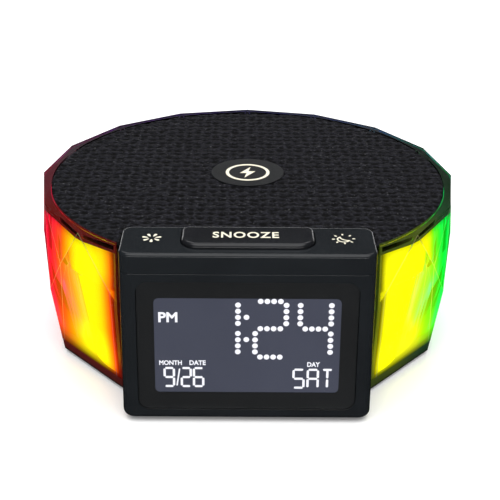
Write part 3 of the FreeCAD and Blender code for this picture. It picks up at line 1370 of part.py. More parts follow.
def make_set_keys():
    """Four round keys, each with a lip behind the panel and a stem into its own switch."""
    cases = []
    half = "rear_switch / 2"
    case_top = f"{KEY_LIP_FRONT} - key_travel - 0.15"
    for name, x in set_keys():
        stretches = [
            ("cap", KEY_LIP_FRONT, f"{PANEL_FACE} + key_rise", "key_radius"),
            ("lip", KEY_LIP_FRONT, KEY_LIP_BACK, "key_radius + key_lip"),
            ("stem", f"{KEY_LIP_FRONT} - key_stem", KEY_LIP_FRONT, "key_stem"),
        ]
        parts = []
        for part, low, high, radius in stretches:
            parts.append(rod_y(f"{name}_{part}", x, (low, high), "key_level", radius))
        finish(fuse(name + "_solid", *parts), name)
        case = box(name + "_case", about(x, half), (REAR_BOARD, case_top), about("key_level", half))
        well_span = (f"{KEY_LIP_FRONT} - key_stem - key_travel - 0.1", FAR)
        well = rod_y(name + "_well", x, well_span, "key_level", "key_stem + plunger_fit")
        cases.append(cut(name + "_switch", case, well))
    finish(group("rear_switch_group", cases), "rear_switches")


def make_alarm_switch():
    """Slide switch: a case on the rear board and a knob that runs in the panel's slot."""
    reach = "knob_half + 1.6"
    case = box(
        "slide_case",
        (f"{KNOB_X} - ({reach})", f"{KNOB_X} + knob_travel + {reach}"),
        (REAR_BOARD, f"{PANEL_BACK} - cover_gap"),
        about("knob_level", "2.2"),
    )
    track = box(
        "slide_track",
        (f"{KNOB_X} - knob_half + 0.2", f"{KNOB_X} + knob_travel + knob_half - 0.2"),
        (f"{PANEL_BACK} - 2.3", FAR),
        about("knob_level", "1.25"),
    )
    finish(cut("slide_cut", case, track), "slide_switch")
    foot = box(
        "knob_foot",
        (f"{KNOB_X} - knob_half + 0.5", f"{KNOB_X} + knob_half - 0.5"),
        (f"{PANEL_BACK} - 2.2", PANEL_BACK),
        about("knob_level", "1.15"),
    )
    top = box(
        "knob_top",
        (f"{KNOB_X} - knob_half", f"{KNOB_X} + knob_half"),
        (PANEL_BACK, f"{PANEL_FACE} + key_rise"),
        about("knob_level", "knob_tall / 2"),
    )
    finish(fuse("knob_solid", foot, top), "alarm_knob")


def make_power_inlet():
    """Barrel inlet: a block through the rear board, a collar in the panel and a pin in the bore."""
    tail = f"{PANEL_FACE} - jack_deep - 2"
    case = box("jack_case", about(JACK_X, "jack_half"), (tail, PANEL_BACK), about("jack_level", "jack_half"))
    collar = rod_y("jack_ring", JACK_X, (PANEL_BACK, PANEL_FACE), "jack_level", "jack_collar")
    bore = rod_y("jack_hollow", JACK_X, (f"{PANEL_FACE} - jack_deep", FAR), "jack_level", "jack_bore")
    finish(cut("jack_cut", fuse("jack_solid", case, collar), bore), "power_inlet")
    pin = (f"{PANEL_FACE} - jack_deep", f"{PANEL_FACE} - 1")
    finish(rod_y("pin", JACK_X, pin, "jack_level", "jack_pin"), "inlet_pin")


def make_rear_board():
    """Board behind the panel, notched round the power inlet, and its two screws."""
    back = f"{REAR_BOARD} - board_thick"
    plate = box(
        "rear_plate",
        both(f"({PANEL_HALF} - 1)"),
        (back, REAR_BOARD),
        (f"{FLOOR_TOP} + 0.2", f"{TRAY_TOP} + panel_tall - 1.2"),
    )
    room = "jack_half + 0.1"
    cuts = [
        box("jack_room", about(JACK_X, room), ("0", FAR), about("jack_level", room)),
    ]
    screws = []
    for name, side in SIDES:
        x = side(REAR_SCREW_X)
        cuts.append(rod_y(f"rear_hole_{name}", x, ("0", FAR), REAR_SCREW_LEVEL, SMALL_BORE))
        shank_span = (back, f"{back} + board_screw")
        head_span = (f"{back} - head_thick", back)
        shank = rod_y(f"rear_shank_{name}", x, shank_span, REAR_SCREW_LEVEL, "small_shank")
        head = rod_y(f"rear_head_{name}", x, head_span, REAR_SCREW_LEVEL, "small_head")
        screws.append(fuse(f"rear_screw_{name}", shank, head))
    finish(cut("rear_board_cut", plate, *cuts), "rear_board")
    finish(group("rear_screw_group", screws), "rear_screws")


def check_document():
    """Stops if an object failed, a piece isn't a sound solid or the origin isn't under the middle."""
    doc.recompute()
    for thing in doc.Objects:
        if "Invalid" in thing.State or "Error" in thing.State:
            raise RuntimeError(f"{thing.Name} failed: {thing.State}")
    whole = FreeCAD.BoundBox()
    for node, solid in PIECES:
        shape = solid.Shape
        if shape.isNull() or not shape.isValid() or not shape.Solids:
            raise RuntimeError(f"{node} isn't a sound solid")
        whole.add(shape.optimalBoundingBox(False))
    if abs(whole.Center.x) > 0.01 or abs(whole.Center.y) > 0.01 or abs(whole.ZMin) > 0.01:
        raise RuntimeError(f"the origin isn't under the middle: {whole}")
    print(f"whole clock {whole.XLength:.2f} x {whole.YLength:.2f} x {whole.ZLength:.2f} mm")


def write_pieces():
    os.makedirs("parts", exist_ok=True)
    for node, solid in PIECES:
        solid.Shape.exportStep(f"parts/{node}.step")
        print(f"{node}: {len(solid.Shape.Solids)} solids, {solid.Shape.Volume:.1f} mm3")


make_prism_shell()
make_light_diffuser()
make_inner_chassis()
make_lights()
make_base_tray()
make_feet()
make_battery()
make_case_screws()
make_top_frame()
make_fabric_cover()
make_charger()
make_front_housing()
make_deck_cover()
make_lens()
make_display()
make_snooze_bar()
make_snooze_switches()
make_deck_board()
make_speaker()
make_main_board()
make_ribbon()
make_rear_panel()
make_set_keys()
make_alarm_switch()
make_power_inlet()
make_rear_board()
check_document()
write_pieces()
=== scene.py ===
import math

import bmesh
import bpy
from bpy.props import FloatProperty, FloatVectorProperty, PointerProperty, StringProperty
from mathutils import Matrix, Vector, noise


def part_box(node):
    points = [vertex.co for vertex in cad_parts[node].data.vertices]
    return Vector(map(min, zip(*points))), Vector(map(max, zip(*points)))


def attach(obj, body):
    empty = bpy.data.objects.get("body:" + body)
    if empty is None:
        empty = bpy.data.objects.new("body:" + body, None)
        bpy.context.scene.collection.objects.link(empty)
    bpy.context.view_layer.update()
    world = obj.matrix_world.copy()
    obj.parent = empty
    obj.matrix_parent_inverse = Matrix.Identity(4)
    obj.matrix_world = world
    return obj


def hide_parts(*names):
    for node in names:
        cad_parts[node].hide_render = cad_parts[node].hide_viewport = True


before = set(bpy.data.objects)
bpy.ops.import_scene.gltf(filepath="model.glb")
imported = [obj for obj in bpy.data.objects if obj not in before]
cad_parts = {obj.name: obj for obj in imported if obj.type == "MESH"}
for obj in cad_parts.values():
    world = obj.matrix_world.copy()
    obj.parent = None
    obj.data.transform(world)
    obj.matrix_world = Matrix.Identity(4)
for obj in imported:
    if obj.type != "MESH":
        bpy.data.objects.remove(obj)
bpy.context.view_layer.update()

bl_info = {
    "name": "Bedside Clock",
    "version": (1, 0, 0),
    "blender": (4, 5, 0),
    "location": "3D View > Sidebar > Clock",
    "description": "Dresses the lit bedside clock: shell, cloth top, display and printed signs",
    "category": "Object",
}

# The frame is in metres; sizes below are typed in millimetres and multiplied by MM.
MM = 0.001
# The drum's own axis. The charging badge's middle lies 3.8 mm behind it.
BADGE_LOW, BADGE_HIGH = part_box("charge_badge")
AXIS_Y = (BADGE_LOW.y + BADGE_HIGH.y) / 2 - 3.8 * MM


def paint(code):
    """A hex colour as linear red, green and blue."""
    shares = [int(code[place : place + 2], 16) / 255 for place in (1, 3, 5)]
    return tuple(s / 12.92 if s <= 0.04045 else ((s + 0.055) / 1.055) ** 2.4 for s in shares)


def opaque(colour):
    return (*colour[:3], 1.0)


# Settings a user would change


def colour_setting(name, description, code):
    return FloatVectorProperty(
        name=name, description=description, subtype="COLOR", size=3, min=0, max=1, default=paint(code)
    )


def strength_setting(name, description, level):
    return FloatProperty(name=name, description=description, default=level, min=0, max=20)


def length_setting(name, description, size, least, most):
    return FloatProperty(
        name=name, description=description, default=size, min=least, max=most, unit="LENGTH", precision=5
    )


class CaseSettings(bpy.types.PropertyGroup):
    case_colour: colour_setting("Case", "Satin black of the housing and the deck", "#1C1F22")
    key_colour: colour_setting("Keys", "Satin black of the snooze bar and the set keys", "#1B1C1F")
    print_colour: colour_setting("Print", "Cream of the printed signs", "#EFE9D2")
    grain: length_setting("Grain", "Spacing of the moulded grain", 0.45 * MM, 0.1 * MM, 3 * MM)


class GlowSettings(bpy.types.PropertyGroup):
    strength: strength_setting("Glow", "Brightness of the lit ring", 1.25)
    # Strength of the glow painted on the clear shell
    haze: strength_setting("Haze", "Glow scattered in the shell", 0.22)
    # Strength of the highlights painted along the facets' edges
    edges: strength_setting("Edges", "Glow gathered along the facets' edges", 0.9)
    # Strength of the glow painted on the black layers in the shell and on the foot
    painted_leak: strength_setting("Leak", "Glow caught in the rim and the tray", 1.1)
    smoke: colour_setting("Smoke", "Tint of the clear shell", "#EDEAEC")
    shade_height: length_setting(
        "Rim Shade", "Height of the dark layer in the rim", 60.3 * MM, 50 * MM, 62.5 * MM
    )


class ClothSettings(bpy.types.PropertyGroup):
    pitch: FloatVectorProperty(
        name="Mesh Pitch",
        description="Spacing of the cloth's openings, across and along",
        size=2,
        default=(3.75 * MM, 4.2 * MM),
        min=1 * MM,
        max=20 * MM,
        unit="LENGTH",
        precision=5,
    )
    depth: length_setting("Relief", "Yarns above the bottom of the openings", 0.45 * MM, 0, 2 * MM)
    yarn_colour: colour_setting("Yarn", "Top of the yarns", "#131318")
    # the openings' colour is painted shade, much darker than the yarns
    hollow_shade_colour: colour_setting("Openings", "Bottom of the openings", "#030304")


class DisplaySettings(bpy.types.PropertyGroup):
    time: StringProperty(name="Time", description="Digits and a colon, up to four digits", default="1:24")
    date: StringProperty(name="Date", description="Month and date with a stroke between", default="9/26")
    day: StringProperty(name="Day", description="Three letters", default="SAT")
    half: StringProperty(name="Half Day", description="Word beside the time", default="PM")
    field_colour: colour_setting("Field", "Lit ground of the display", "#494C5A")
    mark_colour: colour_setting("Marks", "Lit dots and strokes", "#F7F8FF")


class StageSettings(bpy.types.PropertyGroup):
    floor_colour: colour_setting("Floor", "Pale floor", "#F4F4F4")
    lamp: strength_setting("Soft Lamp", "Strength of the wide lamp above", 3.2)
    sky: strength_setting("Room", "Strength of the room's even light", 0.35)
    table: strength_setting("Light Table", "The floor's own light", 0.15)


# Materials


def node(tree, kind, wires=(), stops=(), **settings):
    """Adds a shader node. settings are its own, stops are a ramp's places and colours, and wires gives
    each input its value, or the node or socket that it is linked to."""
    made = tree.nodes.new("ShaderNode" + kind)
    for name, value in settings.items():
        setattr(made, name, value)
    for place, value in dict(wires).items():
        if isinstance(value, bpy.types.Node):
            value = next(socket for socket in value.outputs if socket.enabled)
        if isinstance(value, bpy.types.NodeSocket):
            tree.links.new(value, made.inputs[place])
        else:
            made.inputs[place].default_value = value
    if stops:
        elements = made.color_ramp.elements
        elements.remove(elements[1])
        elements[0].position, elements[0].color = stops[0][0], opaque(stops[0][1])
        for place, colour in stops[1:]:
            elements.new(place).color = opaque(colour)
    return made


def new_material(name):
    """An empty material, its node tree and its Object coordinates, in metres."""
    made = bpy.data.materials.new(name)
    made.use_nodes = True
    made.node_tree.nodes.clear()
    return made, made.node_tree, node(made.node_tree, "TexCoord").outputs["Object"]


def grey(level):
    return (level, level, level)


def spread(colour, low, high, places=(0.3, 0.7)):
    """Two ramp stops: a colour times low, and times high."""
    return [(place, [share * level for share in colour]) for place, level in zip(places, (low, high))]


def moulded_plastic(name, colour, roughness, gloss, grain):
    """ABS moulded against a spark-eroded tool: an even colour, a fine satin grain and faint cloudiness."""
    made, tree, where = new_material(name)
    cloud = node(tree, "TexNoise", {"Vector": where, "Scale": 45.0, "Detail": 3.0})
    fine = node(tree, "TexNoise", {"Vector": where, "Scale": 1 / grain, "Detail": 2.0})
    satin = [(0.3, grey(roughness - 0.05)), (0.7, grey(roughness + 0.06))]
    shader = node(tree, "BsdfPrincipled", {
        "Base Color": node(tree, "ValToRGB", {"Fac": cloud}, spread(colour, 0.86, 1.12)),
        "Roughness": node(tree, "ValToRGB", {"Fac": fine}, satin),
        "Normal": node(tree, "Bump", {"Height": fine, "Distance": 0.02 * MM, "Strength": 0.5}),
        "IOR": 1.53,
        "Specular IOR Level": gloss,
    })
    node(tree, "OutputMaterial", {"Surface": shader})
    return made


def metal(name, colour, roughness, stretch=(1.0, 1.0, 1.0)):
    """Plated or bare metal with fine drawn or turned marks, about 0.4 mm apart."""
    made, tree, where = new_material(name)
    turned = node(tree, "Mapping", {"Vector": where, "Scale": stretch})
    marks = node(tree, "TexNoise", {"Vector": turned, "Scale": 2500.0, "Detail": 3.0})
    rubbed = [(0.3, grey(roughness - 0.08)), (0.7, grey(roughness + 0.1))]
    shader = node(tree, "BsdfPrincipled", {
        "Base Color": node(tree, "ValToRGB", {"Fac": marks}, spread(colour, 0.82, 1.05)),
        "Roughness": node(tree, "ValToRGB", {"Fac": marks}, rubbed),
        "Metallic": 1.0,
    })
    node(tree, "OutputMaterial", {"Surface": shader})
    return made


def dull(name, colour, roughness, grain, contrast=0.25, gloss=0.3):
    """A dull body with a visible grain: rubber, foam, ferrite, pressed paper or glass-fibre board."""
    made, tree, where = new_material(name)
    speck = node(tree, "TexNoise", {"Vector": where, "Scale": 1 / grain, "Detail": 4.0})
    tints = spread(colour, 1 - contrast, 1 + contrast, (0.35, 0.65))
    shader = node(tree, "BsdfPrincipled", {
        "Base Color": node(tree, "ValToRGB", {"Fac": speck}, tints),
        "Roughness": roughness,
        "Specular IOR Level": gloss,
        "Normal": node(tree, "Bump", {"Height": speck, "Distance": 0.1 * grain, "Strength": 0.6}),
    })
    node(tree, "OutputMaterial", {"Surface": shader})
    return made


# The lit ring: degrees round the drum from the middle of the front, to the right as the display is
# seen, and the colour there.
RING = (
    (0, "#B0A010"), (34, "#C8B810"), (38, "#F6F60A"), (46, "#FFFF08"), (55, "#FFFF08"),
    (59, "#D8FF08"), (62, "#70FA08"), (65, "#20FA18"), (72, "#08FA28"), (80, "#08F060"),
    (118, "#08F078"), (134, "#12C8F0"), (152, "#2478FF"), (175, "#4A40FF"), (196, "#7A28F4"),
    (216, "#A81CD8"), (234, "#D816A0"), (248, "#F01040"), (278, "#F81048"), (289, "#FF1428"),
    (294, "#FF3010"), (298, "#FF6008"), (302, "#FF9808"), (306, "#FFE008"), (310, "#FFFC08"),
    (318, "#FFD808"), (321, "#FF8408"), (324, "#FF2008"), (332, "#D01010"), (359, "#A01018"),
)
# Heights in millimetres, and the share of a turn by which those colours stand further from the block.
LEAN = ((8, 0.021), (25, 0.016), (50, 0.0))
RING_RADIUS = 70 * MM
# Painted glow: the dim colour painted on the black layers in the rim and at the ends and on the foot,
# standing in for the ring's light that the clear plastic catches there, by degrees as above.
PAINTED_GLOW_COLOURS = (
    (0, "#20200A"), (38, "#3C4A10"), (52, "#4A5A12"), (66, "#1E4424"), (82, "#16301A"),
    (110, "#202822"), (138, "#303236"), (180, "#1A1B20"), (222, "#242428"), (250, "#46383E"),
    (264, "#58262E"), (278, "#5E222A"), (292, "#60100C"), (306, "#60120C"), (322, "#500C08"),
    (359, "#20200A"),
)


def levels(tree, distance, stops):
    """A grey ramp over a distance in metres, with stops of (millimetres, level)."""
    span = 80
    share = node(tree, "Math", {0: distance, 1: 1 / (span * MM)}, operation="MULTIPLY")
    return node(tree, "ValToRGB", {"Fac": share}, [(place / span, grey(level)) for place, level in stops])


def round_drum(tree, where, table, lean=()):
    """The colour that a table gives at each place round the drum's axis, shifted by lean."""
    turned = node(
        tree,
        "Mapping",
        {"Vector": where, "Location": (0, AXIS_Y, 0), "Rotation": (0, 0, math.radians(90))},
        vector_type="TEXTURE",
    )
    share = node(tree, "TexGradient", {"Vector": turned}, gradient_type="RADIAL").outputs["Fac"]
    if lean:
        place = node(tree, "SeparateXYZ", {"Vector": where}).outputs
        back = node(tree, "Math", {0: levels(tree, place["Z"], lean), 1: place["X"]}, operation="MULTIPLY")
        share = node(tree, "Math", {0: back, 1: -1 / RING_RADIUS, 2: share}, operation="MULTIPLY_ADD")
    return node(tree, "ValToRGB", {"Fac": share}, [(degrees / 360, paint(code)) for degrees, code in table])


def ring_glow(tree, where, heights):
    """The ring's light: its colour runs round the drum, and it fades by height and beside the block."""
    place = node(tree, "SeparateXYZ", {"Vector": where}).outputs
    aside = node(tree, "Math", {0: place["X"]}, operation="ABSOLUTE")
    behind = node(tree, "Math", {0: place["Y"], 1: AXIS_Y - 20 * MM}, operation="GREATER_THAN")
    level = levels(tree, aside, [(44.7, 0.0), (45.6, 0.3), (47.0, 0.85), (49.0, 1.0)])
    for blend, other in (
        ("LIGHTEN", behind),
        ("MULTIPLY", levels(tree, place["Z"], heights)),
        ("MULTIPLY", round_drum(tree, where, RING, LEAN)),
    ):
        level = node(
            tree, "Mix", {"Factor": 1.0, "A": level, "B": other}, data_type="RGBA", blend_type=blend
        )
    return level


def lit_opal(settings):
    """Opal polycarbonate lit from behind by the ring of lamps: an even glow."""
    made, tree, where = new_material("opal_polycarbonate_lit")
    heights = [(0, 0.0), (4, 0.5), (8, 0.95), (14, 1.0), (52, 1.0), (60, 0.8)]
    shader = node(tree, "BsdfPrincipled", {
        "Base Color": opaque(grey(0.02)),
        "Roughness": 0.6,
        "Specular IOR Level": 0.0,
        "Emission Color": ring_glow(tree, where, heights),
        "Emission Strength": settings.strength,
    })
    node(tree, "OutputMaterial", {"Surface": shader})
    return made


def painted_edge_highlight(settings):
    """Painted highlight along the small polished radius between two facets: a paler line of the ring's
    light, glowing on thin rods.
    """
    made, tree, where = new_material("painted_facet_highlight")
    heights = [(5.5, 0.0), (9, 0.5), (14, 1.0), (50, 1.0), (56, 0.6), (59.8, 0.15)]
    paler = {"Factor": 1.0, "A": ring_glow(tree, where, heights), "B": opaque(grey(0.06))}
    shader = node(tree, "BsdfPrincipled", {
        "Base Color": opaque(grey(0.02)),
        "Roughness": 0.15,
        "Specular IOR Level": 0.2,
        "Emission Color": node(tree, "Mix", paler, data_type="RGBA", blend_type="ADD"),
        "Emission Strength": settings.edges,
    })
    node(tree, "OutputMaterial", {"Surface": shader})
    return made


def painted_glow_plastic(name, settings, heights):
    """Black plastic with a painted glow on its outer side, most near the lit shell, standing in for the glow
    it catches.
    """
    made, tree, where = new_material(name)
    place = node(tree, "SeparateXYZ", {"Vector": where}).outputs
    flat = node(tree, "VectorMath", {0: where, 1: (1, 1, 0), 2: (0, -AXIS_Y, 0)}, operation="MULTIPLY_ADD")
    outside = levels(tree, node(tree, "VectorMath", {0: flat}, operation="LENGTH"), [(64, 0.0), (67, 1.0)])
    painted = round_drum(tree, where, PAINTED_GLOW_COLOURS)
    for level in (levels(tree, place["Z"], heights), outside):
        painted = node(
            tree, "Mix", {"Factor": 1.0, "A": painted, "B": level}, data_type="RGBA", blend_type="MULTIPLY"
        )
    cloud = node(tree, "TexNoise", {"Vector": where, "Scale": 60.0, "Detail": 2.0})
    shader = node(tree, "BsdfPrincipled", {
        "Base Color": opaque(grey(0.011)),
        "Roughness": node(tree, "ValToRGB", {"Fac": cloud}, [(0.3, grey(0.3)), (0.7, grey(0.4))]),
        "Specular IOR Level": 0.15,
        "Emission Color": painted,
        "Emission Strength": settings.painted_leak,
    })
    node(tree, "OutputMaterial", {"Surface": shader})
    return made


def clear_shell(settings):
    """Polished smoked polycarbonate: clear, with a painted glow of the ring's light on it, most below,
    standing in for the light scattered in it.
    """
    made, tree, where = new_material("smoked_polycarbonate_painted_glow")
    flow = node(tree, "TexNoise", {"Vector": where, "Scale": 60.0, "Detail": 1.0})
    heights = [(5.5, 0.0), (7, 1.0), (10, 2.2), (15, 2.2), (24, 1.0), (50, 1.0), (57, 0.8), (59.8, 0.0)]
    shader = node(tree, "BsdfPrincipled", {
        "Base Color": opaque(settings.smoke),
        "Roughness": 0.02,
        "IOR": 1.49,
        "Specular Tint": opaque(grey(0.15)),
        "Transmission Weight": 1.0,
        # painted glow: the ring's light painted on the shell, strongest low down
        "Emission Color": ring_glow(tree, where, heights),
        "Emission Strength": settings.haze,
        "Normal": node(tree, "Bump", {"Height": flow, "Distance": 0.02 * MM, "Strength": 0.3}),
    })
    node(tree, "OutputMaterial", {"Surface": shader})
    return made


def knitted_cloth(settings):
    """Polyester mesh knit: dull yarns of fine filaments, darker down in the openings by painted shade, with
    a few painted glints.
    """
    made, tree, where = new_material("polyester_mesh_knit")
    height = node(tree, "Attribute", attribute_name="yarn_height").outputs["Fac"]
    # by yarn height: painted shade low in the openings, the yarn's colour, and a lighter painted top
    shades = [(0.15, settings.hollow_shade_colour), (0.6, settings.yarn_colour), (1.0, paint("#19191E"))]
    base = node(tree, "ValToRGB", {"Fac": height}, shades)
    # yarn by yarn, 1 mm apart, the cloth is darker or lighter
    yarns = node(
        tree, "TexNoise", {"Vector": where, "Scale": 1 / MM, "Detail": 1.0, "Distortion": 0.8}
    )
    share = node(tree, "ValToRGB", {"Fac": yarns}, [(0.3, grey(0.12)), (0.5, grey(0.75)), (0.7, grey(2.4))])
    # painted glints: a few light specks added to the yarns' colour
    speck = node(tree, "TexNoise", {"Vector": where, "Scale": 1100.0, "Detail": 1.0})
    glints = node(tree, "ValToRGB", {"Fac": speck}, [(0.68, grey(0.0)), (0.8, grey(0.08))])
    for blend, other in (("MULTIPLY", share), ("ADD", glints)):
        base = node(tree, "Mix", {"Factor": 1.0, "A": base, "B": other}, data_type="RGBA", blend_type=blend)
    # bundles of filaments, 2.762 mm apart along X and Y: as coarse as they need to be to show
    strands = node(
        tree,
        "TexWave",
        {"Vector": where, "Scale": math.tau / 10 / (2.762 * MM), "Distortion": 6.0, "Detail": 2.0},
        wave_type="BANDS",
        bands_direction="DIAGONAL",
    ).outputs["Fac"]
    shader = node(tree, "BsdfPrincipled", {
        "Base Color": base,
        "Roughness": 0.75,
        "Specular IOR Level": 0.1,
        "Normal": node(tree, "Bump", {"Height": strands, "Distance": 0.15 * MM, "Strength": 0.7}),
    })
    node(tree, "OutputMaterial", {"Surface": shader})
    return made


def glowing(name, colour, strength, shade):
    """A lit face: its own light, a little uneven, over a dark body."""
    made, tree, where = new_material(name)
    uneven = node(tree, "TexNoise", {"Vector": where, "Scale": 35.0, "Detail": 1.0})
    shader = node(tree, "BsdfPrincipled", {
        "Base Color": opaque(grey(0.01)),
        "Roughness": 0.3,
        "Specular IOR Level": 0.1,
        "Emission Color": node(tree, "ValToRGB", {"Fac": uneven}, spread(colour, 1 - shade, 1 + shade)),
        "Emission Strength": strength,
    })
    node(tree, "OutputMaterial", {"Surface": shader})
    return made


def clear_lens():
    """Acrylic sheet with a hard coat that cuts its reflections."""
    made, tree, where = new_material("coated_acrylic")
    haze = node(tree, "TexNoise", {"Vector": where, "Scale": 90.0, "Detail": 2.0})
    shader = node(tree, "BsdfPrincipled", {
        "Base Color": opaque(grey(0.96)),
        "Roughness": node(tree, "ValToRGB", {"Fac": haze}, [(0.3, grey(0.0)), (0.7, grey(0.03))]),
        "IOR": 1.49,
        "Specular Tint": opaque(grey(0.1)),
        "Transmission Weight": 1.0,
    })
    node(tree, "OutputMaterial", {"Surface": shader})
    return made


def printed_ink(name, colour):
    """Pad-printed ink: flat colour with the faint mottle of a thin film."""
    made, tree, where = new_material(name)
    mottle = node(tree, "TexNoise", {"Vector": where, "Scale": 1200.0, "Detail": 2.0})
    shader = node(tree, "BsdfPrincipled", {
        "Base Color": node(tree, "ValToRGB", {"Fac": mottle}, spread(colour, 0.92, 1.05)),
        "Roughness": 0.55,
        "Specular IOR Level": 0.3,
    })
    node(tree, "OutputMaterial", {"Surface": shader})
    return made


def dress(material, *names):
    """Gives CAD nodes a material."""
    for name in names:
        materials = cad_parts[name].data.materials
        materials.clear()
        materials.append(material)


# Shapes


def new_piece(name, shape, material, body, place=Matrix()):
    """Turns a bmesh into a piece of the clock: its faces are turned outwards, then place moves it."""
    bmesh.ops.recalc_face_normals(shape, faces=shape.faces)
    bmesh.ops.transform(shape, matrix=place, verts=shape.verts)
    mesh = bpy.data.meshes.new(name)
    shape.to_mesh(mesh)
    shape.free()
    made = bpy.data.objects.new(name, mesh)
    bpy.context.scene.collection.objects.link(made)
    mesh.materials.append(material)
    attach(made, body)
    return made


def thicken(shape, faces, thick, out=(0, 0, 1)):
    """Pulls flat faces out by a thickness and closes them behind."""
    raised = bmesh.ops.extrude_face_region(shape, geom=faces, use_keep_orig=True)["geom"]
    corners = [part for part in raised if isinstance(part, bmesh.types.BMVert)]
    bmesh.ops.translate(shape, vec=Vector(out) * thick, verts=corners)


def dot(shape, x, y, radius, thick, sides=20):
    """A flat round dot."""
    made = bmesh.ops.create_cone(
        shape, cap_ends=True, segments=sides, radius1=radius, radius2=radius, depth=thick
    )
    bmesh.ops.translate(shape, vec=(x, y, thick / 2), verts=made["verts"])


def stroke(shape, start, end, wide, thick):
    """A flat bar from start to end, pointed by round cuts at its corners."""
    start, end = Vector(start), Vector(end)
    along = end - start
    made = bmesh.ops.create_cube(shape, size=1.0)["verts"]
    bmesh.ops.scale(shape, vec=(along.length, wide, thick), verts=made)
    edges = dict.fromkeys(edge for corner in made for edge in corner.link_edges)
    cut = bmesh.ops.bevel(
        shape,
        geom=[edge for edge in edges if abs(edge.verts[0].co.z - edge.verts[1].co.z) > thick / 2],
        offset=0.42 * wide,
        affect="EDGES",
        segments=2,
        profile=0.5,
    )["verts"]
    made = dict.fromkeys(corner for corner in [*cut, *made] if corner.is_valid)
    turn = Matrix.Rotation(math.atan2(along.y, along.x), 4, "Z")
    place = Matrix.Translation((*((start + end) / 2), thick / 2))
    bmesh.ops.transform(shape, matrix=place @ turn, verts=list(made))


def drop(shape, x, y, turn, reach, wide, thick):
    """A flat ray with round ends, turned about x and y; reach and wide are for its inner and outer end."""
    outline = []
    for end, width, start in ((reach[1] - wide[1] / 2, wide[1], -90), (reach[0] + wide[0] / 2, wide[0], 90)):
        for step in range(7):
            angle = math.radians(start + 30 * step)
            outline.append((end + width / 2 * math.cos(angle), width / 2 * math.sin(angle)))
    spin = Matrix.Rotation(math.radians(turn), 2)
    plate(shape, [(spin @ Vector(point) + Vector((x, y))) * MM for point in outline], thick)


def crescent(shape, x, y, turn, radius, line, thick):
    """The outline of a crescent, open towards an angle."""
    steps, centre = 12, 0.75 * radius
    spin = Matrix.Rotation(math.radians(turn), 2)

    def sheet(inward):
        outer, wide, tall = radius - inward, 0.75 * radius + inward, radius + inward
        # the round and the hollow side meet in a horn
        horn = next(
            angle
            for angle in (math.radians(share / 5) for share in range(900))
            if math.hypot((outer * math.cos(angle) - centre) / wide, outer * math.sin(angle) / tall) > 1
        )
        side = math.asin(outer * math.sin(horn) / tall)
        far = [horn + (math.tau - 2 * horn) * step / steps for step in range(steps)]
        near = [-side + 2 * side * step / steps for step in range(steps)]
        points = [(outer * math.cos(angle), outer * math.sin(angle)) for angle in far]
        points += [(centre - wide * math.cos(angle), tall * math.sin(angle)) for angle in near]
        return shape.faces.new(
            [shape.verts.new((*(spin @ Vector(point) + Vector((x, y))) * MM, 0)) for point in points]
        )

    sheets = [sheet(0), sheet(line)]
    edges = [edge for face in sheets for edge in face.edges]
    bmesh.ops.delete(shape, geom=sheets, context="FACES_ONLY")
    thicken(shape, bmesh.ops.bridge_loops(shape, edges=edges)["faces"], thick)


def words(shape, text, x, y, wide, tall, thick, weight=0.0, spacing=1.0):
    """Adds flat lettering, centred, scaled to a width and a height."""
    curve = bpy.data.curves.new("lettering", "FONT")
    curve.body = text
    curve.resolution_u = 4
    curve.extrude = 0.5
    # the bevel only widens the strokes: the whole is then flattened to its thickness
    curve.bevel_depth, curve.bevel_resolution = weight, 0
    curve.space_character = spacing
    holder = bpy.data.objects.new("lettering", curve)
    bpy.context.scene.collection.objects.link(holder)
    bpy.context.view_layer.update()
    mesh = bpy.data.meshes.new_from_object(holder)
    bpy.data.objects.remove(holder)
    bpy.data.curves.remove(curve)
    low = Vector(min(corner.co[axis] for corner in mesh.vertices) for axis in range(3))
    high = Vector(max(corner.co[axis] for corner in mesh.vertices) for axis in range(3))
    size = high - low
    scale = Matrix.Diagonal((wide / size.x, tall / size.y, thick / size.z, 1.0))
    centre = Matrix.Translation(-(low + high) / 2)
    mesh.transform(Matrix.Translation((x, y, thick / 2)) @ scale @ centre)
    before = len(shape.verts)
    shape.from_mesh(mesh)
    shape.verts.ensure_lookup_table()
    bmesh.ops.remove_doubles(shape, verts=shape.verts[before:], dist=0.0005 * MM)
    bpy.data.meshes.remove(mesh)


def ring(shape, outer, inner, thick):
    """A flat ring about the origin."""
    section = ((inner, 0), (outer, 0), (outer, thick), (inner, thick))
    face = shape.faces.new([shape.verts.new((radius, 0, level)) for radius, level in section])
    bmesh.ops.spin(
        shape,
        geom=[face, *face.edges, *face.verts],
        cent=(0, 0, 0),
        axis=(0, 0, 1),
        angle=math.tau,
        steps=64,
        use_merge=True,
    )


def plate(shape, outline, thick):
    """A flat plate with the given outline of (x, y)."""
    face = shape.faces.new([shape.verts.new((x, y, 0)) for x, y in outline])
    thicken(shape, [face], thick)


def rounded_sheet(shape, wide, tall, y, radius):
    """A flat rectangle with round corners, its middle at y."""
    known = set(shape.faces)
    corners = bmesh.ops.create_grid(shape, x_segments=1, y_segments=1, size=0.5)["verts"]
    bmesh.ops.scale(shape, vec=(wide, tall, 1), verts=corners)
    bmesh.ops.translate(shape, vec=(0, y, 0), verts=corners)
    bmesh.ops.bevel(
        shape,
        geom=corners,
        offset=radius,
        affect="VERTICES",
        segments=8,
        profile=0.5,
    )
    return next(face for face in shape.faces if face not in known)


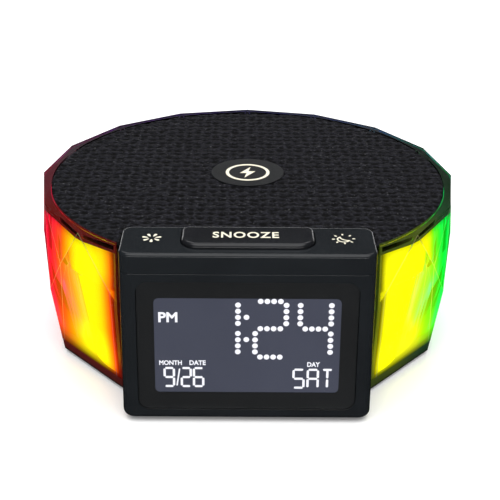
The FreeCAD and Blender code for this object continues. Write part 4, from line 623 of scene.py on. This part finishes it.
def wall_layer(place, out):
    """A film 0.1 mm thick inside the shell's wall, where a plane cuts it, just clear of its faces."""
    shape = bmesh.new()
    shape.from_mesh(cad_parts["prism_shell"].data)
    bmesh.ops.remove_doubles(shape, verts=shape.verts, dist=0.001 * MM)
    cut = bmesh.ops.bisect_plane(
        shape,
        geom=[*shape.verts, *shape.edges, *shape.faces],
        dist=0.0001 * MM,
        plane_co=place,
        plane_no=out,
        clear_outer=True,
        clear_inner=True,
    )["geom_cut"]
    edges = [part for part in cut if isinstance(part, bmesh.types.BMEdge)]
    faces = bmesh.ops.contextual_create(shape, geom=edges)["faces"]
    border = bmesh.ops.inset_region(shape, faces=faces, thickness=0.08 * MM, use_boundary=True)
    bmesh.ops.delete(shape, geom=border["faces"], context="FACES")
    thicken(shape, shape.faces[:], 0.1 * MM, out)
    return shape


def highlight_rods(radius):
    """Thin rods for the painted edge highlights along the outer facets' edges, but for those that lie level
    or rake forward.
    """
    shell = bmesh.new()
    shell.from_mesh(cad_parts["prism_shell"].data)
    bmesh.ops.remove_doubles(shell, verts=shell.verts, dist=0.001 * MM)
    bmesh.ops.dissolve_limit(
        shell, angle_limit=math.radians(0.3), verts=shell.verts, edges=shell.edges, delimit={"NORMAL"}
    )
    shape = bmesh.new()
    for edge in shell.edges:
        start, end = (corner.co for corner in edge.verts)
        middle = (start + end) / 2
        away = Vector((middle.x, middle.y - AXIS_Y, 0)).normalized()
        outer = len(edge.link_faces) == 2 and all(face.normal.dot(away) > 0.7 for face in edge.link_faces)
        if not outer or edge.calc_face_angle() < math.radians(1.0):
            continue
        lower, upper = sorted((start, end), key=lambda place: place.z)
        if upper.z - lower.z < 5 * MM or (lower.z < 40 * MM < upper.z and lower.y < upper.y):
            continue
        rod = bmesh.ops.create_cone(
            shape, cap_ends=True, segments=6, radius1=radius, radius2=radius, depth=edge.calc_length()
        )["verts"]
        turn = (end - start).to_track_quat("Z", "Y").to_matrix().to_4x4()
        bmesh.ops.transform(shape, matrix=Matrix.Translation(middle) @ turn, verts=rod)
    shell.free()
    return shape


def stand_up(y, turn=0):
    """The matrix that stands flat work in X and Y up at y, facing the front, or turned about Z."""
    spin = Matrix.Rotation(math.radians(turn), 4, "Z") @ Matrix.Rotation(math.radians(90), 4, "X")
    return Matrix.Translation((0, y, 0)) @ spin


# Operators


class CLOCK_OT_stage(bpy.types.Operator):
    """Pale floor, soft lamps and the camera"""

    bl_idname = "clock.stage"
    bl_label = "Stage"

    def execute(self, context):
        settings = context.scene.clock_stage
        floor = bmesh.new()
        bmesh.ops.create_grid(floor, x_segments=2, y_segments=2, size=3.0)
        mesh = bpy.data.meshes.new("floor")
        floor.to_mesh(mesh)
        floor.free()
        ground = bpy.data.objects.new("floor", mesh)
        context.scene.collection.objects.link(ground)
        paper, tree, where = new_material("matt_paper_backdrop")
        fibre = node(tree, "TexNoise", {"Vector": where, "Scale": 30.0, "Detail": 3.0})
        tints = spread(settings.floor_colour, 0.985, 1.0)
        shader = node(tree, "BsdfPrincipled", {
            "Base Color": node(tree, "ValToRGB", {"Fac": fibre}, tints),
            "Roughness": 0.9,
            "Specular IOR Level": 0.1,
            "Emission Color": opaque(grey(1.0)),
            "Emission Strength": settings.table,
        })
        node(tree, "OutputMaterial", {"Surface": shader})
        mesh.materials.append(paper)
        # black flags keep the pale room out of the polished and clear faces: only the lamps are mirrored
        ground.visible_glossy = False
        ground.visible_transmission = False

        def lamp(name, kind, place, target, **traits):
            data = bpy.data.lights.new(name, kind)
            for key, value in traits.items():
                setattr(data, key, value)
            holder = bpy.data.objects.new(name, data)
            holder.location = place
            holder.rotation_euler = (Vector(target) - Vector(place)).to_track_quat("-Z", "Y").to_euler()
            context.scene.collection.objects.link(holder)
            return holder

        # a wide even lamp from above and a little in front
        lamp("soft_lamp", "SUN", (0, -0.3, 1.0), (0, 0, 0), energy=settings.lamp, angle=math.radians(70))
        # a strip that draws the upper edges, and two low ones, behind and in front, that only show as
        # lines along the polished edges
        for name, place, wide, tall, energy in (
            ("edge_strip", (0, 0.55, 0.75), 0.9, 0.25, 2.0),
            ("rear_card", (0, 1.3, 0.0), 2.4, 0.5, 10.0),
            ("front_card", (0, -1.5, 0.12), 2.4, 0.16, 12.0),
        ):
            shape = {"shape": "RECTANGLE", "size": wide, "size_y": tall}
            strip = lamp(name, "AREA", place, (0, 0, 0.04), energy=energy, **shape)
            strip.visible_diffuse = strip.visible_transmission = name == "edge_strip"
        world = bpy.data.worlds.new("room")
        world.use_nodes = True
        sky = world.node_tree.nodes["Background"].inputs
        sky["Color"].default_value, sky["Strength"].default_value = (1, 1, 1, 1), settings.sky
        world.cycles_visibility.glossy = False
        world.cycles_visibility.transmission = False
        context.scene.world = world
        context.scene.view_settings.view_transform = "Standard"

        # A long lens 463 mm from the middle of the cloth, looking down 22 degrees on the display's side.
        turn, tilt, roll = math.radians(-0.28), math.radians(22.17), math.radians(0.49)
        target = Vector((0, AXIS_Y, 63 * MM))
        back = Vector((math.sin(turn) * math.cos(tilt), -math.cos(turn) * math.cos(tilt), math.sin(tilt)))
        right = Vector((math.cos(turn), math.sin(turn), 0))
        up = back.cross(right)
        across = right * math.cos(roll) + up * math.sin(roll)
        above = up * math.cos(roll) - right * math.sin(roll)
        data = bpy.data.cameras.new("camera")
        data.lens, data.sensor_width = 86.4, 36.0
        data.shift_x, data.shift_y = 0.00474, -0.14744
        data.clip_start = 0.01
        camera = bpy.data.objects.new("camera", data)
        turned = Matrix((across, above, back)).transposed().to_4x4()
        camera.matrix_world = Matrix.Translation(target + back * 463.25 * MM) @ turned
        context.scene.collection.objects.link(camera)
        context.scene.camera = camera
        return {"FINISHED"}


class CLOCK_OT_case(bpy.types.Operator):
    """Satin plastic, rubber and screws of the case"""

    bl_idname = "clock.case"
    bl_label = "Case"

    def execute(self, context):
        settings = context.scene.clock_case
        case = moulded_plastic("satin_black_abs", settings.case_colour, 0.2, 0.25, settings.grain)
        dress(case, "front_housing", "deck_cover", "top_frame", "rear_panel", "battery_door")
        keys = moulded_plastic("satin_black_abs_keys", settings.key_colour, 0.2, 0.25, settings.grain)
        dress(keys, "snooze_bar", "time_key", "alarm_key", "minus_key", "plus_key", "alarm_knob")
        rubber = dull("moulded_rubber", paint("#1A1A1A"), 0.85, 0.5 * MM)
        dress(rubber, "rubber_feet")
        steel = metal("zinc_plated_steel", paint("#B8BBBE"), 0.32)
        dress(steel, "base_screws", "block_screws", "top_screws", "rear_screws", "inlet_pin")
        socket = moulded_plastic("glass_filled_nylon", paint("#151517"), 0.5, 0.4, 0.6 * MM)
        dress(socket, "power_inlet", "slide_switch")
        return {"FINISHED"}


class CLOCK_OT_lit_drum(bpy.types.Operator):
    """Smoked shell over the lit ring"""

    bl_idname = "clock.lit_drum"
    bl_label = "Lit Drum"

    def execute(self, context):
        settings = context.scene.clock_glow
        dress(lit_opal(settings), "light_diffuser")
        dress(clear_shell(settings), "prism_shell")
        # painted glow on the black foot, by height
        foot = [(0, 0.0), (1.9, 0.0), (2.4, 0.4), (5.5, 0.6), (6.5, 0.6)]
        dress(painted_glow_plastic("black_foot_painted_glow", settings, foot), "base_tray")

        # painted highlights: thin rods that glow along the facets' edges
        lines = highlight_rods(0.1 * MM)
        new_piece("painted_facet_highlights", lines, painted_edge_highlight(settings), "case")

        # dark layers inside the clear plastic, which block the ring's light and carry a painted glow: one
        # level in the rim, and one at each end by the block
        shade = painted_glow_plastic("black_layer_painted_glow", settings, [(0, 1.0), (70, 1.0)])
        rim = wall_layer((0, 0, settings.shade_height), (0, 0, 1))
        new_piece("rim_shade", rim, shade, "case")
        ends = bmesh.new()
        for side in (-1, 1):
            layer = wall_layer((side * 44.75 * MM, 0, 0), (side, 0, 0))
            rear = [face for face in layer.faces if face.calc_center_median().y > AXIS_Y]
            bmesh.ops.delete(layer, geom=rear, context="FACES")
            holder = bpy.data.meshes.new("end")
            layer.to_mesh(holder)
            layer.free()
            ends.from_mesh(holder)
            bpy.data.meshes.remove(holder)
        new_piece("end_shades", ends, shade, "case")
        return {"FINISHED"}


class CLOCK_OT_cloth_top(bpy.types.Operator):
    """Knitted cloth stretched over the top"""

    bl_idname = "clock.cloth_top"
    bl_label = "Cloth Top"

    def execute(self, context):
        settings = context.scene.clock_cloth
        low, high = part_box("fabric_cover")
        # its loops fill most of the gap to the rim
        reach = (high.x - low.x) / 2 + 0.25 * MM
        deck_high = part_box("deck_cover")[1]
        # the notch leaves a gap of 0.4 mm to the deck
        notch_half, notch_rear = deck_high.x + 0.4 * MM, deck_high.y + 0.4 * MM
        cell = 0.5 * MM
        count = int(2 * reach / cell) + 2
        shape = bmesh.new()
        bmesh.ops.create_grid(shape, x_segments=count, y_segments=count, size=count * cell / 2)
        bmesh.ops.translate(shape, vec=(0, AXIS_Y, 0), verts=shape.verts)

        def inside(place):
            beyond = (place.x**2 + (place.y - AXIS_Y) ** 2) > reach**2
            return not beyond and not (abs(place.x) < notch_half and place.y < notch_rear)

        outside = [face for face in shape.faces if not any(inside(corner.co) for corner in face.verts)]
        bmesh.ops.delete(shape, geom=outside, context="FACES")
        for corner in shape.verts:
            place = corner.co
            if abs(place.x) < notch_half and place.y < notch_rear:
                if notch_half - abs(place.x) < notch_rear - place.y:
                    place.x = math.copysign(notch_half, place.x)
                else:
                    place.y = notch_rear
            away = math.hypot(place.x, place.y - AXIS_Y)
            if away > reach:
                place.x *= reach / away
                place.y = AXIS_Y + (place.y - AXIS_Y) * reach / away
        bmesh.ops.remove_doubles(shape, verts=shape.verts, dist=0.02 * MM)

        across, along = settings.pitch
        heights = shape.verts.layers.float.new("yarn_height")
        round_edge = 0.9 * MM
        # a fixed seed, so that the stitches stray the same way each time
        noise.seed_set(1)
        for corner in shape.verts:
            x, y = corner.co.x, corner.co.y - AXIS_Y
            # the stitches stray by up to a millimetre, and no two openings are alike
            stray = noise.noise_vector(corner.co / (4.5 * MM)) * 1.0 * MM
            u, v = math.pi * (x + stray.x) / across, math.pi * (y + stray.y) / along
            wander = 0.42 * math.cos(u) * math.cos(v)
            bow = 0.38 * math.sin(u) * math.sin(v)
            wale = 0.5 + 0.5 * math.cos(2 * u + 2 * wander)
            course = 0.5 + 0.5 * math.cos(2 * v + 2 * bow)
            uneven = 1.0 + 1.3 * noise.noise(corner.co / (2.0 * MM))
            level = 1 - min(1.0, max(0.0, (1 - 0.8 * wale) * (1 - 0.95 * course) * uneven * 1.35))
            corner[heights] = level
            off_notch = max(abs(x) - notch_half, corner.co.y - notch_rear)
            off_rim = min(reach - math.hypot(x, y), off_notch)
            sink = max(0.0, 1 - off_rim / round_edge)
            corner.co.z = high.z - settings.depth * (1 - level) - 0.45 * MM * sink**2
        bottom = bmesh.ops.extrude_edge_only(
            shape, edges=[edge for edge in shape.edges if edge.is_boundary]
        )["geom"]
        lower = [part for part in bottom if isinstance(part, bmesh.types.BMVert)]
        for corner in lower:
            corner.co.z = low.z + 0.2 * MM
            corner[heights] = 0.3
        bmesh.ops.contextual_create(
            shape, geom=[part for part in bottom if isinstance(part, bmesh.types.BMEdge)]
        )
        for face in shape.faces:
            face.smooth = True
        cloth = new_piece("cloth_top", shape, knitted_cloth(settings), "case")
        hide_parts("fabric_cover")
        # cut as a disc less the block's notch, with its turned-down edge left out
        return {"FINISHED"}


class CLOCK_OT_charging_mark(bpy.types.Operator):
    """Badge with the printed charging sign"""

    bl_idname = "clock.charging_mark"
    bl_label = "Charging Mark"

    def execute(self, context):
        settings = context.scene.clock_case
        dress(moulded_plastic("matt_black_badge", paint("#1A1B1D"), 0.35, 0.2, 0.4 * MM), "charge_badge")
        thick = 0.04 * MM
        shape = bmesh.new()
        ring(shape, 8.5 * MM, 7.25 * MM, thick)
        bolt = [(1.2, 5.6), (-3.0, -0.8), (-0.4, -0.8), (-1.3, -5.6), (3.0, 1.0), (0.3, 1.0)]
        plate(shape, [(x * MM, y * MM) for x, y in bolt], thick)
        ink = printed_ink("cream_pad_print", settings.print_colour)
        place = Matrix.Translation((0, AXIS_Y + 3.4 * MM, BADGE_HIGH.z))
        new_piece("charging_sign", shape, ink, "case", place)
        return {"FINISHED"}


# Display marks are laid out on the glass in millimetres: X to the right, height above the table.
DIGIT_STROKES = {
    "0": "abcdef", "1": "bc", "2": "abged", "3": "abgcd", "4": "fgbc",
    "5": "afgcd", "6": "afgedc", "7": "abc", "8": "abcdefg", "9": "abcdfg",
    "A": "abcefg", "D": "bcd|!a", "E": "adefg", "F": "aefg", "H": "bcefg", "I": "a|!d", "M": "bcef!",
    "N": "abcef", "O": "abcdef", "R": "abefg|", "S": "afgcd", "T": "a|!", "U": "bcdef", "W": "bcef|",
    "/": "/",
}


def dotted_digit(shape, digit, left, thick):
    """A large digit, each of its seven strokes a row of four dots."""
    columns = [left + step for step in (1.76, 4.01, 6.27, 8.55)]
    upper, lower = (45.1, 42.75, 40.4, 38.1), (34.2, 31.75, 29.4, 27.05)
    rows = {
        "a": [(x, 46.55) for x in columns],
        "b": [(left + 10.5, z) for z in upper],
        "c": [(left + 10.5, z) for z in lower],
        "d": [(x, 25.05) for x in columns],
        "e": [(left, z) for z in lower],
        "f": [(left, z) for z in upper],
        "g": [(x, 36.1) for x in columns],
    }
    for name in DIGIT_STROKES[digit]:
        for x, z in rows[name]:
            dot(shape, x * MM, z * MM, 0.98 * MM, thick)


def stroke_letter(shape, letter, left, wide, foot, tall, thick):
    """A small digit or letter of straight strokes."""
    half, gap = tall / 2, 0.22
    right, middle, head = left + wide, foot + half, foot + tall
    lines = {
        "a": ((left + gap, head), (right - gap, head)),
        "b": ((right, head - gap), (right, middle + gap)),
        "c": ((right, middle - gap), (right, foot + gap)),
        "d": ((left + gap, foot), (right - gap, foot)),
        "e": ((left, foot + gap), (left, middle - gap)),
        "f": ((left, middle + gap), (left, head - gap)),
        "g": ((left + gap, middle), (right - gap, middle)),
        "|": ((left + wide / 2, foot + gap), (left + wide / 2, middle - gap)),
        "!": ((left + wide / 2, middle + gap), (left + wide / 2, head - gap)),
        "/": ((left, foot + 0.2), (right, head - 0.2)),
    }
    for name in DIGIT_STROKES[letter]:
        start, end = (Vector(point) * MM for point in lines[name])
        stroke(shape, start, end, (0.5 if name == "/" else 0.82) * MM, thick)


class CLOCK_OT_display(bpy.types.Operator):
    """Lens, lit glass and the marks it shows"""

    bl_idname = "clock.display"
    bl_label = "Display"

    def execute(self, context):
        settings = context.scene.clock_display
        lens_low, lens_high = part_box("lens_panel")
        dress(clear_lens(), "lens_panel")
        dress(glowing("lit_display_glass", settings.field_colour, 1.0, 0.05), "lcd_glass")

        # black print on the back of the lens, round the window
        shape = bmesh.new()
        thick = 0.04 * MM
        foot, head = 11.85 * MM, 48.35 * MM
        wide, tall = lens_high.x - lens_low.x - 0.2 * MM, lens_high.z - lens_low.z - 0.2 * MM
        sheets = [
            rounded_sheet(shape, wide, tall, (lens_low.z + lens_high.z) / 2, 3.9 * MM),
            rounded_sheet(shape, 2 * 31.6 * MM, head - foot, (foot + head) / 2, 1.8 * MM),
        ]
        edges = [edge for sheet in sheets for edge in sheet.edges]
        bmesh.ops.delete(shape, geom=sheets, context="FACES_ONLY")
        bmesh.ops.bridge_loops(shape, edges=edges)
        thicken(shape, list(shape.faces), thick)
        # painted light: the black border glows a little, standing in for the display's light that the lens
        # carries into it
        ink = glowing("black_screen_print_painted_light", paint("#1F2021"), 1.0, 0.08)
        new_piece("lens_print", shape, ink, "case", stand_up(lens_high.y - 0.01 * MM))

        shape = bmesh.new()
        thick = 0.05 * MM
        digits = [letter for letter in settings.time if letter.isdigit()]
        for place, digit in zip((17.9, 2.65, -13.72, -28.8), reversed(digits)):
            dotted_digit(shape, digit, place, thick)
        for height in (40.45, 31.85):
            dot(shape, -0.33 * MM, height * MM, 0.98 * MM, thick)
        for letter, left, wide in zip(settings.date, (-28.4, -24.2, -22.5, -18.3), (3.2, 1.0, 3.1, 3.2)):
            stroke_letter(shape, letter, left, wide, 13.3, 7.2, thick)
        for letter, left in zip(settings.day, (16.1, 21.0, 26.0)):
            stroke_letter(shape, letter, left, 3.5, 12.9, 7.2, thick)
        for text, x, z, wide, tall in (
            (settings.half, -26.95, 40.3, 6.5, 3.85),
            ("MONTH", -26.3, 22.6, 7.8, 1.85),
            ("DATE", -17.0, 22.65, 5.6, 1.85),
            ("DAY", 22.9, 22.2, 4.4, 1.85),
        ):
            words(shape, text, x * MM, z * MM, wide * MM, tall * MM, thick, 0.03)
        lit = glowing("lit_display_marks", settings.mark_colour, 1.15, 0.02)
        place = stand_up(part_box("lcd_glass")[0].y)
        new_piece("display_marks", shape, lit, "case", place)
        return {"FINISHED"}


class CLOCK_OT_snooze_word(bpy.types.Operator):
    """Word printed on the snooze bar"""

    bl_idname = "clock.snooze_word"
    bl_label = "Snooze Word"

    def execute(self, context):
        shape = bmesh.new()
        words(shape, "SNOOZE", -0.75 * MM, 0, 22.4 * MM, 4.7 * MM, 0.04 * MM, 0.02, 1.12)
        ink = printed_ink("cream_bar_print", context.scene.clock_case.print_colour)
        place = Matrix.Translation((0, AXIS_Y - 61.3 * MM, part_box("snooze_bar")[1].z))
        new_piece("snooze_word", shape, ink, "snooze_key", place)
        return {"FINISHED"}


class CLOCK_OT_deck_signs(bpy.types.Operator):
    """Light and dimmer signs printed over the two touch pads"""

    bl_idname = "clock.deck_signs"
    bl_label = "Deck Signs"

    def execute(self, context):
        thick = 0.04 * MM
        shape = bmesh.new()
        for step in range(7):
            drop(shape, -32.6, 0.1, 360 / 7 * step - 90, (1.2, 3.35), (0.5, 1.1), thick)
        for step in range(8):
            drop(shape, 32.4, 0.1, 45 * step + 3, (2.9, 4.0), (0.6, 0.6), thick)
        crescent(shape, 32.4, -0.2, 50, 2.35, 0.5, thick)
        ink = printed_ink("cream_deck_print", context.scene.clock_case.print_colour)
        place = Matrix.Translation((0, AXIS_Y - 60.75 * MM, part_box("deck_cover")[1].z))
        new_piece("deck_signs", shape, ink, "case", place)
        return {"FINISHED"}


class CLOCK_OT_rear_words(bpy.types.Operator):
    """Plain words printed above the set keys and beside the alarm switch"""

    bl_idname = "clock.rear_words"
    bl_label = "Rear Words"

    def execute(self, context):
        shape = bmesh.new()
        thick = 0.04 * MM
        # beside which part, how far to its right and above it as seen from behind, and how large
        for name, text, aside, above, wide, tall in (
            ("time_key", "TIME", 0, 4.8, 5.2, 1.4),
            ("alarm_key", "ALARM", 0, 4.8, 6.6, 1.4),
            ("minus_key", "-", 0, 4.8, 1.7, 0.4),
            ("plus_key", "+", 0, 4.8, 1.7, 1.7),
            ("alarm_knob", "OFF", 4.5, 0, 2.9, 1.3),
            ("alarm_knob", "ON", -7.2, 0, 2.2, 1.3),
        ):
            low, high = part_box(name)
            x, z = aside * MM - (low.x + high.x) / 2, above * MM + (low.z + high.z) / 2
            words(shape, text, x, z, wide * MM, tall * MM, thick, 0.02)
        ink = printed_ink("cream_panel_print", context.scene.clock_case.print_colour)
        # the set keys stand 1.2 mm proud of the panel
        place = stand_up(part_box("time_key")[1].y - 1.2 * MM, 180)
        new_piece("rear_words", shape, ink, "case", place)
        return {"FINISHED"}


class CLOCK_OT_inner_parts(bpy.types.Operator):
    """Boards, coil, speaker and the other parts inside"""

    bl_idname = "clock.inner_parts"
    bl_label = "Inner Parts"

    def execute(self, context):
        white = moulded_plastic("white_polystyrene", paint("#E4E4E0"), 0.45, 0.5, 0.8 * MM)
        dress(white, "inner_chassis", "coil_holder", "rgb_leds")
        milky = moulded_plastic("milky_acrylic_guide", paint("#EDEFEF"), 0.3, 0.5, 1.0 * MM)
        dress(milky, "backlight_guide")
        black = moulded_plastic("black_polystyrene", paint("#1C1C1E"), 0.5, 0.4, 0.6 * MM)
        dress(black, "lcd_frame", "snooze_plungers", "snooze_switches", "rear_switches", "board_parts")
        board = dull("glass_fibre_board", paint("#0F4A2A"), 0.45, 0.9 * MM, 0.15, 0.5)
        dress(board, "charger_board", "display_board", "deck_board", "main_board", "rear_board")
        film = dull("polyimide_film", paint("#B07A2C"), 0.4, 1.2 * MM, 0.12, 0.5)
        dress(film, "led_strip", "display_ribbon")
        steel = metal("bright_steel", paint("#C3C6C8"), 0.28)
        dress(steel, "coin_cell", "coil_screws", "display_screws", "touch_springs")
        dress(steel, "speaker_frame", "speaker_screws", "board_screws")
        dress(metal("tinned_brass", paint("#C9B478"), 0.3), "battery_contacts", "touch_pads")
        dress(metal("enamelled_copper_wire", paint("#B4693C"), 0.35, (1, 1, 6)), "charging_coil")
        dress(dull("pressed_ferrite", paint("#2A2A2C"), 0.7, 0.6 * MM), "ferrite_disc", "speaker_magnet")
        dress(dull("foam_rubber", paint("#191919"), 0.95, 0.7 * MM, 0.35), "speaker_gasket", "contact_strip")
        dress(dull("rolled_rubber", paint("#141414"), 0.6, 0.9 * MM), "speaker_surround")
        dress(dull("pressed_paper", paint("#222223"), 0.9, 0.8 * MM, 0.3), "speaker_cone")
        return {"FINISHED"}


class CLOCK_PT_panel(bpy.types.Panel):
    """The clock's pieces, in the order they are made"""

    bl_label = "Bedside Clock"
    bl_idname = "CLOCK_PT_panel"
    bl_space_type = "VIEW_3D"
    bl_region_type = "UI"
    bl_category = "Clock"

    def draw(self, context):
        for operator in OPERATORS:
            self.layout.operator(operator.bl_idname)
        for place in SETTINGS:
            group = getattr(context.scene, place)
            box = self.layout.box()
            for name in group.bl_rna.properties.keys():
                if name not in ("rna_type", "name"):
                    box.prop(group, name)


SETTINGS = {
    "clock_case": CaseSettings,
    "clock_glow": GlowSettings,
    "clock_cloth": ClothSettings,
    "clock_display": DisplaySettings,
    "clock_stage": StageSettings,
}
OPERATORS = (
    CLOCK_OT_stage,
    CLOCK_OT_case,
    CLOCK_OT_lit_drum,
    CLOCK_OT_inner_parts,
    CLOCK_OT_cloth_top,
    CLOCK_OT_charging_mark,
    CLOCK_OT_display,
    CLOCK_OT_snooze_word,
    CLOCK_OT_deck_signs,
    CLOCK_OT_rear_words,
)


def register():
    for made in (*SETTINGS.values(), *OPERATORS, CLOCK_PT_panel):
        bpy.utils.register_class(made)
    for place, group in SETTINGS.items():
        setattr(bpy.types.Scene, place, PointerProperty(type=group))


def unregister():
    for place in SETTINGS:
        delattr(bpy.types.Scene, place)
    for made in (CLOCK_PT_panel, *reversed(OPERATORS), *reversed(SETTINGS.values())):
        bpy.utils.unregister_class(made)


def main():
    register()
    for operator in OPERATORS:
        group, name = operator.bl_idname.split(".")
        getattr(getattr(bpy.ops, group), name)()


if __name__ == "__main__":
    main()
